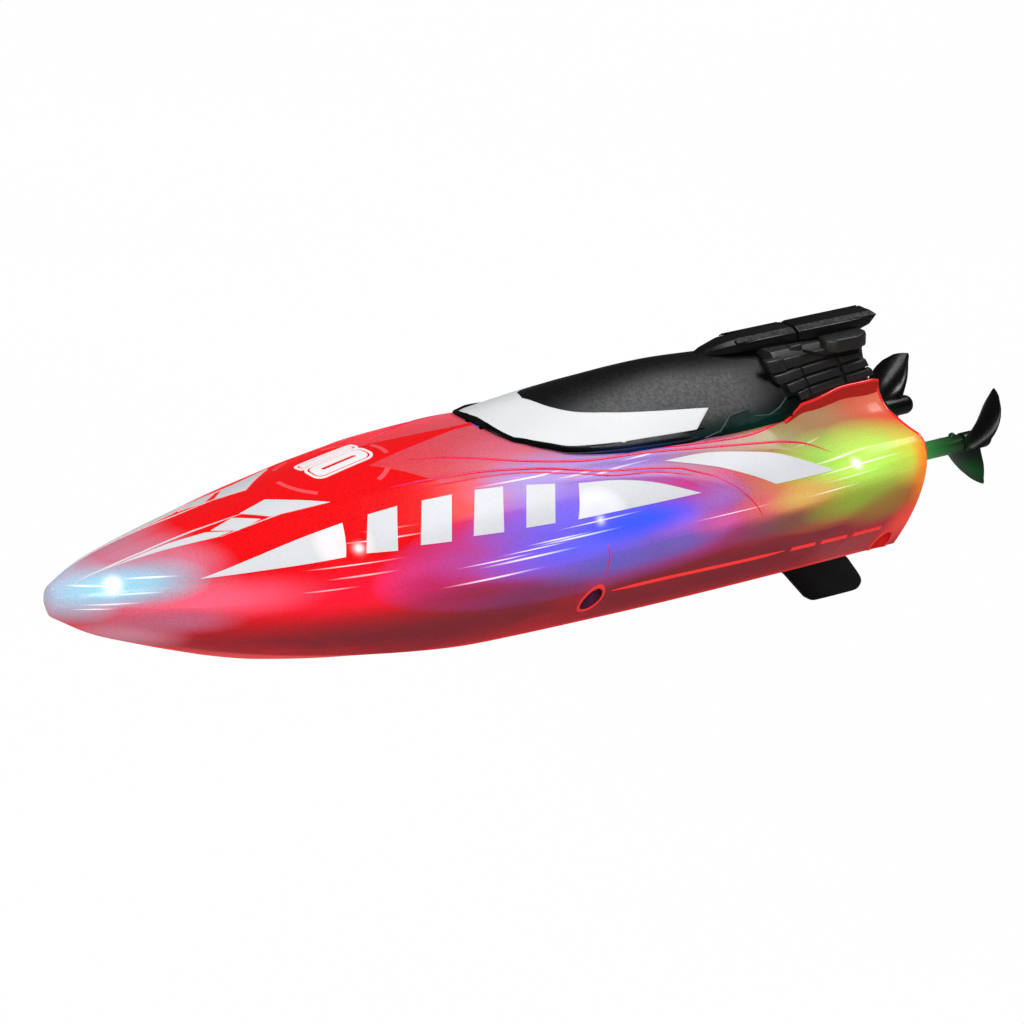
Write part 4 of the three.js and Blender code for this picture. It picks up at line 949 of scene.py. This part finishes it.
# The white band runs between the canopy's foot and an inner edge. The two are walked at an even pace.
inner_edge = curve([(0, 17), (7.5, 20.5), (12.6, 26.5), (16, 37), (18, 49), (20, 67.2)], 12)
foot_walk = [foot_point(CANOPY_NOSE + 0.2 + 59.2 * (k / 240) ** 2, -1.5) for k in range(241)]
lengths = [0.0]
for before, after in zip(foot_walk, foot_walk[1:]):
    lengths.append(lengths[-1] + (after - before).length)
pairs = []
for k, inner in enumerate(inner_edge):
    wanted = lengths[-1] * k / (len(inner_edge) - 1)
    outer = foot_walk[min(range(241), key=lambda i: abs(lengths[i] - wanted))]
    pairs.append((max(outer.x, 0) if k else 0, outer.y, *inner))
rows = []
for side, walk in ((-1, reversed(pairs)), (1, pairs[1:])):
    for outer_x, outer_y, inner_x, inner_y in walk:
        row = []
        for t in spread(0, 1, 18):
            x, y = mix(outer_x, inner_x, t), mix(outer_y, inner_y, t)
            row.append((side * x, y, hull_mm(CANOPY.ray_cast(*sight(x, y, "z"))[0])[2] + 0.22))
        rows.append(row)
windscreen = new_object("windscreen_band", grid(rows), WHITE, 40)
for polygon in windscreen.data.polygons:
    if polygon.normal.z < 0:
        polygon.flip()
bevelled(thick(windscreen, 0.7), 0.12, 2, 50)
place(windscreen, "lid", "white", "windscreen")

# ---- Engine cowl ---------------------------------------------------------------------------------
cowl_foot = line((96, 19), (107, 14.6), (120, 12.3), (133, 10.8))
cowl_side = line((96, 17.5), (107, 13.8), (133, 9.6))
cowl_top = line((96, 12.5), (133, 7))
cowl_roof = line((96, 61.4), (115, 60.4), (133, 58))


def cowl_face(y, z, out=0.0):
    """A point on the cowl's port side."""
    t = min(max((z - 49) / (cowl_roof(y) - 51), 0), 1)
    return mix(cowl_side(y), cowl_top(y), t) + out


rows = []
for y in spread(96.3, 132.4, 18):
    roof = cowl_roof(y)
    half = [(0, roof), (cowl_top(y) - 2.6, roof), (cowl_top(y) - 0.4, roof - 1.9)]
    half += [(cowl_face(y, z, -1.0), z) for z in (mix(roof - 3.2, 49, t) for t in (0, 0.33, 0.67, 1))]
    half.append((cowl_foot(y) - 0.4, max(deck_height(cowl_foot(y), y) + GAP, 40)))
    rows.append([(-x, y, z) for x, z in reversed(half[1:])] + [(x, y, z) for x, z in half])
front, rear = rows[0], rows[-1]
rows = [[(x * s, y, mix(48, z, s)) for x, y, z in front] for s in (0.1, 0.6)] + rows
rows += [[(x * s, y + 0.9 * (1 - s), mix(50, z, s)) for x, y, z in rear] for s in (0.94, 0.6, 0.1)]
cowl = thick(new_object("cowl_core", grid(rows), BLACK, 24), LID_WALL)
place(bevelled(cowl, 0.35), "lid", "black", "engine_cowl")
LEAN = 0.30  # how far the bars lean aft for each millimetre below LEAN_Z
LEAN_Z = 57


def cowl_bar(name, side, y0, y1, z0, z1, out, taper=0.0):
    """A bar laid along the cowl's side between two heights, leaning aft towards its foot."""
    count = max(int((y1 - y0) / 2.5), 2)
    rows = []
    for k in range(count + 1):
        y = mix(y0, y1, k / count)
        low, high = z0, z1 - taper * k / count
        ring = [(cowl_face(y, low, -1.6), low), (cowl_face(y, low, out), low + 0.25),
                (cowl_face(y, high, out), high - 0.25), (cowl_face(y, high, -1.6), high)]
        rows.append([(side * x, y + LEAN * (LEAN_Z - z), z) for x, z in ring])
    place(bevelled(solid(name, rows, BLACK, 24), 0.3), "lid", "black")


for side_name, side in SIDES:
    for i, (z0, z1) in enumerate(((47.4, 49.9), (50.4, 52.9), (53.4, 55.9))):  # from the foot upwards
        cowl_bar(f"{side_name}_front_step_{i + 1}", side, 99.6 - 2.9 * i, 103.6, z0, z1 + 0.3, 0.9)
        cowl_bar(f"{side_name}_front_block_{i + 1}", side, 103.9, 105.2, z0, z1, 0.2)
        cowl_bar(f"{side_name}_mid_rib_{i + 1}", side, 105.6, 119.6, z0, z1, 0.35)
        cowl_bar(f"{side_name}_rear_rib_{i + 1}", side, 120.8, 131.6 - 0.7 * i, z0, z1, 0.35)
    cowl_bar(f"{side_name}_shoulder_front", side, 93.4, 99.6, 56.4, 60.2, 0.7)
    cowl_bar(f"{side_name}_shoulder_mid", side, 100, 119.2, 56.4, 59.6, 0.35, 0.6)
    cowl_bar(f"{side_name}_shoulder_rear", side, 120.4, 130.4, 56.4, 58.4, 0.2, 0.5)
    outline = [(5, 117), (9.4, 116.6), (11.6, 119.6), (11.9, 127), (10.2, 131), (8.2, 132.2), (5, 132.2)]
    pod = prism(f"{side_name}_pod", [(side * x, y) for x, y in outline], 57.3, 61.4, BLACK)
    place(bevelled(pod, 0.7, 3), "lid", "black", f"{side_name}_cowl_pod")
    outline = [(6.6, 104), (9.4, 104), (9.4, 108.4), (6.6, 108.4)]
    tab = prism(f"{side_name}_tab", [(side * x, y) for x, y in outline], 59.4, 61.6, BLACK)
    place(bevelled(tab, 0.5, 3), "lid", "black")
    rows = []
    for k in range(25):
        t = k / 24
        y = mix(107, 131, t)
        z = 60.4 - 4.2 * sin(pi * 0.62 * t) - 1.2 * t
        x = side * cowl_face(y, z, 0.5)
        rows.append([(x + side * 0.45 * cos(a), y, z + 0.45 * sin(a))
                     for a in (0, 1.57, 3.14, 4.71)])
    place(solid(f"{side_name}_pod_seam", rows, WING), "lid", "black")


# ---- Roof wing -----------------------------------------------------------------------------------
def wing_piece(name, stations, *nodes):
    """A faceted bar; each station is y, half width, foot, top, and how far its tail is swept."""
    rows = []
    for y, half, low, top, sweep in stations:
        ring = [(0, low, -3.2), (half * 0.62, low, -3.2), (half, mix(low, top, 0.3), -1.2),
                (half * 0.97, mix(low, top, 0.78), 1.0), (half * 0.55, top, 0), (0, top, 0)]
        ring = [(x, y + sweep * s, z) for x, z, s in ring]
        rows.append(ring + [(-x, b, z) for x, b, z in reversed(ring[1:-1])])
    place(bevelled(solid(name, rows, WING, 18), 0.22, 2, 15), "lid", "black", *nodes)


wing_piece("wing_front", [(75, 1.0, 60.6, 61.6, 0), (80, 2.9, 60.4, 63.2, 0), (86.5, 4.5, 60, 64.6, 0),
                          (97, 5.2, 59.6, 65.0, 0), (109.3, 5.2, 59.4, 65.0, 0)], "roof_wing")
wing_piece("wing_neck", [(108.9, 4.5, 59.6, 64.2, 0), (110.8, 4.5, 59.6, 64.2, 0)])
wing_piece("wing_rear", [(110.3, 5.2, 59.4, 65.0, 0), (126, 5.2, 59.2, 65.0, 0),
                         (132, 5.0, 59.0, 65.0, 0.3), (138.2, 4.5, 60.0, 65.0, 1.2)])
for side_name, side in SIDES:
    for name, y0, y1 in (("front", 88.5, 108.4), ("rear", 111, 136.6)):
        rows = []
        for y in (y0, mix(y0, y1, 0.5), y1):
            shift = 0.9 if y == y1 and name == "rear" else 0
            rows.append([(side * x, y + shift, z) for x, z in
                         ((3.0, 64.84), (4.4, 63.95), (4.6, 64.12), (3.1, 65.1))])
        place(solid(f"{side_name}_wing_{name}_strip", rows, STRIP, 18), "lid", "black")

# ---- Skeg ----------------------------------------------------------------------------------------
profile = curve([(104, -7), (111, -13), (118.5, -21.6), (120.6, -22.8), (123, -23), (134, -23),
                 (137.6, -22.7), (139.2, -20.9), (138.6, -18.6), (133.8, -12), (129, -7)], 4,
                (0, 1, 2, 9, 10))
rows = [[(x, mix(124, y, share), mix(-15, z, share)) for y, z in profile] for x, share in
        ((-1.5, 0.9), (-1.1, 0.985), (-0.5, 1), (0.5, 1), (1.1, 0.985), (1.5, 0.9))]
place(solid("skeg_fin", rows, WING, 40), "hull", "black", "skeg")
foot = prism("skeg_foot", [(-5, 95), (5, 95), (5, 130), (-5, 130)], -7.4, -5.7, BLACK)
cut(foot, upright_hole(1.7, -9, 0, 0, SKEG_SCREW_Y))
place(bevelled(foot, 0.5, 2, 50), "hull", "black")

# ---- Drives --------------------------------------------------------------------------------------
HUB_Y, HUB_END_Y, HUB_RADIUS, TUBE_RADIUS = 161.0, 172.0, 2.9, 2.7
CAP = 2.6  # length of the hub's rounded end
ROOT, TIP = 2.3, 15.58  # of a blade, from the shaft's middle
# A blade's leading and trailing edge in degrees, and its thickness, by distance from the shaft.
BLADE = line((2.2, 52), (3.8, 30), (5.6, 8), (8.4, 4), (11, 14), (13.2, 28), (14.9, 46), (15.6, 66))
BLADE_BACK = line((2.2, 112), (3.8, 106), (5.6, 102), (8.4, 97), (11, 92), (13.2, 88), (14.9, 86),
                  (15.6, 84))
BLADE_THICK = line((2.2, 1.8), (5.6, 1.4), (11, 1.0), (15.6, 0.35))
for side_name, side in SIDES:
    x = side * SHAFT_X
    profile = [(0, HUB_Y), (HUB_RADIUS * 0.9, HUB_Y), (HUB_RADIUS, HUB_Y + 0.3)]
    profile += [(HUB_RADIUS * cos(a), HUB_END_Y - CAP + CAP * sin(a))
                for a in (0, 0.2, 0.45, 0.7, 0.95, 1.2, 1.4, pi / 2)]
    hub = turned(f"{side_name}_hub", profile, x, SHAFT_Z, 48, PROP_BLACK)
    place(hub, f"{side_name}_drive", "black", f"{side_name}_propeller")
    for number, turn in enumerate((0, pi), 1):
        rows = []
        for k in range(25):
            radius = mix(ROOT, TIP, (k / 24) ** 0.8)
            lead, trail, thickness = BLADE(radius), BLADE_BACK(radius), BLADE_THICK(radius)
            face = []
            for i, angle in enumerate(spread(lead, trail, 12)):
                y = 171.4 + 0.102 * (angle - 83) + 0.5 * (radius - 15.3)
                half = thickness / 2 * sqrt(max(1 - (2 * i / 12 - 1) ** 2, 0.01))
                face.append((angle, y, half))
            ring = [(a, y - h) for a, y, h in face] + [(a, y + h) for a, y, h in reversed(face)]
            rows.append([(x + side * radius * cos(radians(a) + turn), y,
                          SHAFT_Z + radius * sin(radians(a) + turn)) for a, y in ring])
        blade = solid(f"{side_name}_blade_{number}", rows, PROP_BLACK, 60)
        place(blade, f"{side_name}_drive", "black")
    profile = [(1.2, 120), (TUBE_RADIUS, 120), (TUBE_RADIUS, HUB_Y - 1.1),
               (TUBE_RADIUS - 0.25, HUB_Y - 0.6), (1.2, HUB_Y - 0.5), (1.2, 120)]
    tube = turned(f"{side_name}_tube", profile, x, SHAFT_Z, 48, PROP_BLACK)
    place(tube, "hull", "black", f"{side_name}_stern_tube")
    inside = TUBE_RADIUS - 0.1
    profile = [(inside, 134.6), (4.2, 134.6), (4.2, 136), (3.7, 136.6), (inside, 136.6), (inside, 134.6)]
    place(turned(f"{side_name}_collar", profile, x, SHAFT_Z, 48, PROP_BLACK), "hull", "black")
    profile = [(radius, SHAFT_Z + up) for radius, up in
               ((0, 2.2), (1.1, 2.2), (1.1, 3.0), (0.8, 3.5), (0.35, 3.75), (0, 3.8))]
    place(turned(f"{side_name}_pip", profile, x, 0, 24, PROP_BLACK, axis="z", y=157.6), "hull", "black")

# ---- Printed flashes -----------------------------------------------------------------------------
# On the sides as (y, z), seen along X.
SIDE_FLASHES = {
    "front_flash": curve([(-98.9, 36.5), (-84, 39.9), (-70, 42.8), (-56.8, 44.9)], 6) + [(-60.8, 38.5)],
    "rear_flash": curve([(14.1, 44.6), (27, 43.3), (38.6, 40.8), (51, 36.4)], 6) + [(9.2, 37.2)],
    "tail_flash": (curve([(44.5, 44.6), (58, 44.2), (70, 42.6), (83, 40), (99, 33.3)], 6)
                   + curve([(77, 33.9), (71, 36.8), (60.4, 40.7), (44.5, 44.6)], 6)[:-1]),
}
BARS = (
    ((-49.2, 45.9), (-40.2, 46.7), (-46.4, 38.3), (-55, 38.7)),
    ((-33, 47.1), (-23.9, 47.3), (-30.6, 38.3), (-39.5, 38.6)),
    ((-16.9, 47.4), (-8.4, 47.0), (-14.6, 38.1), (-23.7, 38.5)),
    ((-1.6, 46.5), (7, 45.5), (1.7, 37.6), (-7.4, 37.9)),
)
BAR_SLANT = (0.78, -0.53, 0.34)
# On the bow as (x, y), seen from above.
BOW_FLASHES = (
    ((4.8, -69.7), (8.9, -65.0), (16.2, -56.1), (12.7, -72.6), (6.7, -78.7)),
    ((13.4, -68.1), (12.9, -73.6), (12.6, -81.0), (12.5, -88.2)),
    ((7.3, -81.4), (12.2, -75.4), (12.9, -82.9), (8.9, -89.0)),
    ((8.8, -90.6), (12.1, -84.8), (12.2, -88.6), (8.7, -103.7), (6.8, -114.3), (4.4, -127.6), (6.5, -115),
     (7.3, -101)),
    ((7.1, -76.6), (6.5, -92.4), (6.5, -108.4), (5.8, -119.9), (3.9, -128.8), (5.3, -120.1), (6.0, -108.6),
     (6.0, -92.6)),
)
for side_name, side in SIDES:
    for name, outline in SIDE_FLASHES.items():
        place(laid(f"{side_name}_{name}", outline, DECK, "x", DECAL, side), "hull", "white")
    for number, outline in enumerate(BARS, 1):
        bar = laid(f"{side_name}_bar_{number}", outline, DECK, "x", DECAL, side, slant=BAR_SLANT)
        place(bar, "hull", "white")
    for number, outline in enumerate(BOW_FLASHES, 1):
        outline = [(side * x, y) for x, y in outline]
        place(laid(f"{side_name}_bow_flash_{number}", outline, DECK, "z", DECAL, cell=1.2), "hull", "white")

# ---- Number --------------------------------------------------------------------------------------
NUMBER_Y, NUMBER_HEIGHT, NUMBER_LEAN = -43.2, 17.6, -0.12


def numeral(x, width, height, radius):
    """The rounded outline of a numeral's stroke on the foredeck, leaning to one side."""
    out = []
    for sx, sy, start in ((1, 1, 0), (-1, 1, 90), (-1, -1, 180), (1, -1, 270)):
        for k in range(6):
            a = radians(start + 90 * k / 5)
            out.append((x + sx * (width / 2 - radius) + radius * cos(a),
                        NUMBER_Y + sy * (height / 2 - radius) + radius * sin(a)))
    return [(x + NUMBER_LEAN * (y - NUMBER_Y), y) for x, y in out]


# A plain race number, read from the bow, with a rim round each numeral and a broken ring round both.
# The three radii are those of the numeral's corners, of the gap round it and of its rim.
for name, x, width, holes, (radius, gap_radius, rim_radius) in (
        ("zero", 0.0, 6.8, (numeral(0.0, 1.5, 11.6, 0.5),), (2.2, 2.6, 3.2)),
        ("one", -6.5, 2.4, (), (0.7, 1.2, 1.7))):
    stroke = laid(f"number_{name}", numeral(x, width, NUMBER_HEIGHT, radius), DECK, "z", NUMBER, cell=1.0,
                  holes=holes)
    place(stroke, "hull", "white")
    gap = numeral(x, width + 1.2, NUMBER_HEIGHT + 1.2, gap_radius)
    rim = laid(f"number_{name}_rim", numeral(x, width + 2.8, NUMBER_HEIGHT + 2.8, rim_radius), DECK, "z",
               NUMBER, cell=1.0, holes=(gap,))
    place(rim, "hull", "white")
RING_X, RING_Y, RING_RADII = -0.3, -45.5, (15.3, 16.6)
for number, (start, end) in enumerate(((-96, -45), (22, 44), (76, 104), (136, 158), (200, 225)), 1):
    turns = [radians(angle) for angle in spread(start, end, 12)]
    arc = [(RING_X + radius * cos(t), RING_Y + radius * sin(t))
           for radius, path in zip(RING_RADII, (turns, turns[::-1])) for t in path]
    place(laid(f"number_arc_{number}", arc, DECK, "z", PALE_RED, proud=0.1, cell=1.0), "hull", "red_shell")

# ---- Raised lines --------------------------------------------------------------------------------
# The crease lines' pinker glowing red is a painted highlight along the ridges.
# Seen from above as (x, y), with each line's radius.
DECK_LINES = {
    "upper_crease": ([(10.5, -27.6), (13.7, -18.9), (17.1, -11.6), (22.6, 1.5), (26.5, 19.5), (27.4, 39.5),
                      (28.6, 57.9), (29.9, 78), (31, 91.4), (33.5, 100.3)], 0.45),
    "lower_crease": ([(18.9, -38.7), (19.9, -32.3), (21.1, -23.7), (22.6, -13), (25.6, 1.8), (30.2, 24),
                      (31.4, 38), (32.6, 48.1), (34.2, 52.8), (36.2, 58.7)], 0.45),
    "second_crease": ([(22.2, -33), (24, -18), (26.4, 0), (31.8, 24), (33.2, 40), (35.4, 52)], 0.28),
    "canopy_lip": ([(26.2, 40.7), (26.9, 54), (27, 64.2), (27, 73.6), (26, 81.3), (23.4, 90)], 0.45),
}
CREASE_DROP = curve([(57.6, 39.3), (62.8, 36.0), (66.1, 32.9), (68.5, 29.8), (70.4, 26.5)], 8)
STERN_RIM = curve([(23.4, 91.5), (20.5, 96.5), (17.5, 101.5), (15.6, 106), (13.6, 113), (12.2, 121),
                   (11.8, 134.4)], 6)
STERN_BROW = curve([(11.6, 133.8), (14, 134), (17.2, 134), (24, 134), (30, 134), (35.2, 134)], 5)
strake_z = line((-6, 12.6), (30, 12.6), (70, 11.4), (97, 10.6), (122, 8.9))
for side_name, side in SIDES:
    for name, (points, radius) in DECK_LINES.items():
        path = [(side * x, y) for x, y in curve(points, 8)]
        raised(f"{side_name}_{name}", path, DECK, "z", CREASE_RED, radius)
    raised(f"{side_name}_crease_drop", CREASE_DROP, HULL, "x", CREASE_RED, 0.18, side)
    boss_line = [(17.6, z) for z in spread(19.4, 29, 12)]
    raised(f"{side_name}_boss_line", boss_line, HULL, "x", CREASE_RED, 0.2, side)
    for number, y in enumerate((85, 96.8, 109.4), 1):
        seam = [(y - 0.35 * k, z) for k, z in enumerate(spread(11.2, 3.2, 10))]
        raised(f"{side_name}_hull_seam_{number}", seam, HULL, "x", RIM_RED, 0.16, side)
    strake = [(y, strake_z(y)) for y in spread(22.5, 84, 50)]
    raised(f"{side_name}_strake", strake, HULL, "x", TRIM_RED, 0.75, side)
    for number, (start, end) in enumerate(((86.5, 95.5), (98.2, 108), (111, 122)), 1):
        block = [(y, mix(11.0, 8.9, (y - 84) / 38)) for y in spread(start, end, 12)]
        raised(f"{side_name}_strake_block_{number}", block, HULL, "x", TRIM_RED, 0.8, side, taper=False)
    rows, bead = [], []
    for k, (x, y) in enumerate(STERN_RIM):
        top = deck_height(x, y) + 1.5 * min(k / 14, 1)
        foot_in, foot_out = (deck_height(x + out, y) - 0.3 for out in (-0.5, 1.3))
        rows.append([(side * (x + out), y, z) for out, z in
                     ((-0.5, foot_in), (-0.5, top), (0.4, top), (1.3, foot_out))])
        bead.append([(side * (x + 0.55 * cos(t)), y, top + 0.5 * sin(t)) for t in around(8)])
    place(solid(f"{side_name}_stern_wall", rows, RIM_RED, 40), "hull", "red_shell")
    place(solid(f"{side_name}_stern_rim", bead, TRIM_RED, 60), "hull", "red_shell")
    brow = [(side * x, y) for x, y in STERN_BROW]
    raised(f"{side_name}_stern_brow", brow, DECK, "z", TRIM_RED, 0.6, taper=False)


# ---- Stage ---------------------------------------------------------------------------------------
def area_light(name, place_m, target_m, size, power):
    light = bpy.data.lights.new(name, "AREA")
    light.shape = "RECTANGLE"
    light.size, light.size_y = size
    light.energy = power
    obj = bpy.data.objects.new(name, light)
    obj.location = place_m
    obj.rotation_euler = (Vector(target_m) - Vector(place_m)).to_track_quat("-Z", "Y").to_euler()
    scene.collection.objects.link(obj)


def floor_paint():
    """A white floor that throws only a dim light back on the boat."""
    p = Paint("floor_white")
    tone = p.noise(3, 2)
    lit = p.node("Emission", {0: p.blend(tone, (0.99, 0.99, 1.0), (1.0, 1.0, 1.0))}).outputs[0]
    dim = p.shade(p.blend(tone, (0.30, 0.30, 0.31), (0.34, 0.34, 0.34)), 0.9)
    seen = p.node("LightPath").outputs["Is Camera Ray"]
    return p.finish(p.node("MixShader", {0: seen, 1: dim, 2: lit}).outputs[0])


bm = bmesh.new()
bmesh.ops.create_grid(bm, x_segments=2, y_segments=2, size=6)
floor = new_object("floor", bm, floor_paint())

world = bpy.data.worlds.new("studio")
scene.world = world
world.use_nodes = True
background = world.node_tree.nodes["Background"]
background.inputs[0].default_value = (1, 1, 1, 1)
background.inputs[1].default_value = 0.05
area_light("key_softbox", (1.05, -0.75, 0.55), (0, 0, 0.04), (0.45, 0.45), 10)
area_light("sky_softbox", (0.03, 0.62, 1.0), (0, 0, 0.05), (0.62, 0.5), 7)
area_light("bow_softbox", (-0.35, -0.9, 0.95), (0, -0.05, 0.05), (0.4, 0.4), 4)
scene.view_settings.view_transform = "Standard"

middle = at(0, 13.76, 26.61)
azimuth, elevation, distance = radians(56), radians(20), 1.2647
back = Vector((sin(azimuth) * cos(elevation), -cos(azimuth) * cos(elevation),
               sin(elevation)))
camera = bpy.data.objects.new("camera", bpy.data.cameras.new("camera"))
camera.data.lens, camera.data.sensor_width = 158.2, 36
camera.data.clip_start, camera.data.clip_end = 0.05, 30
camera.location = middle + back * distance
camera.rotation_euler = (-back).to_track_quat("-Z", "Y").to_euler()
scene.collection.objects.link(camera)
scene.camera = camera
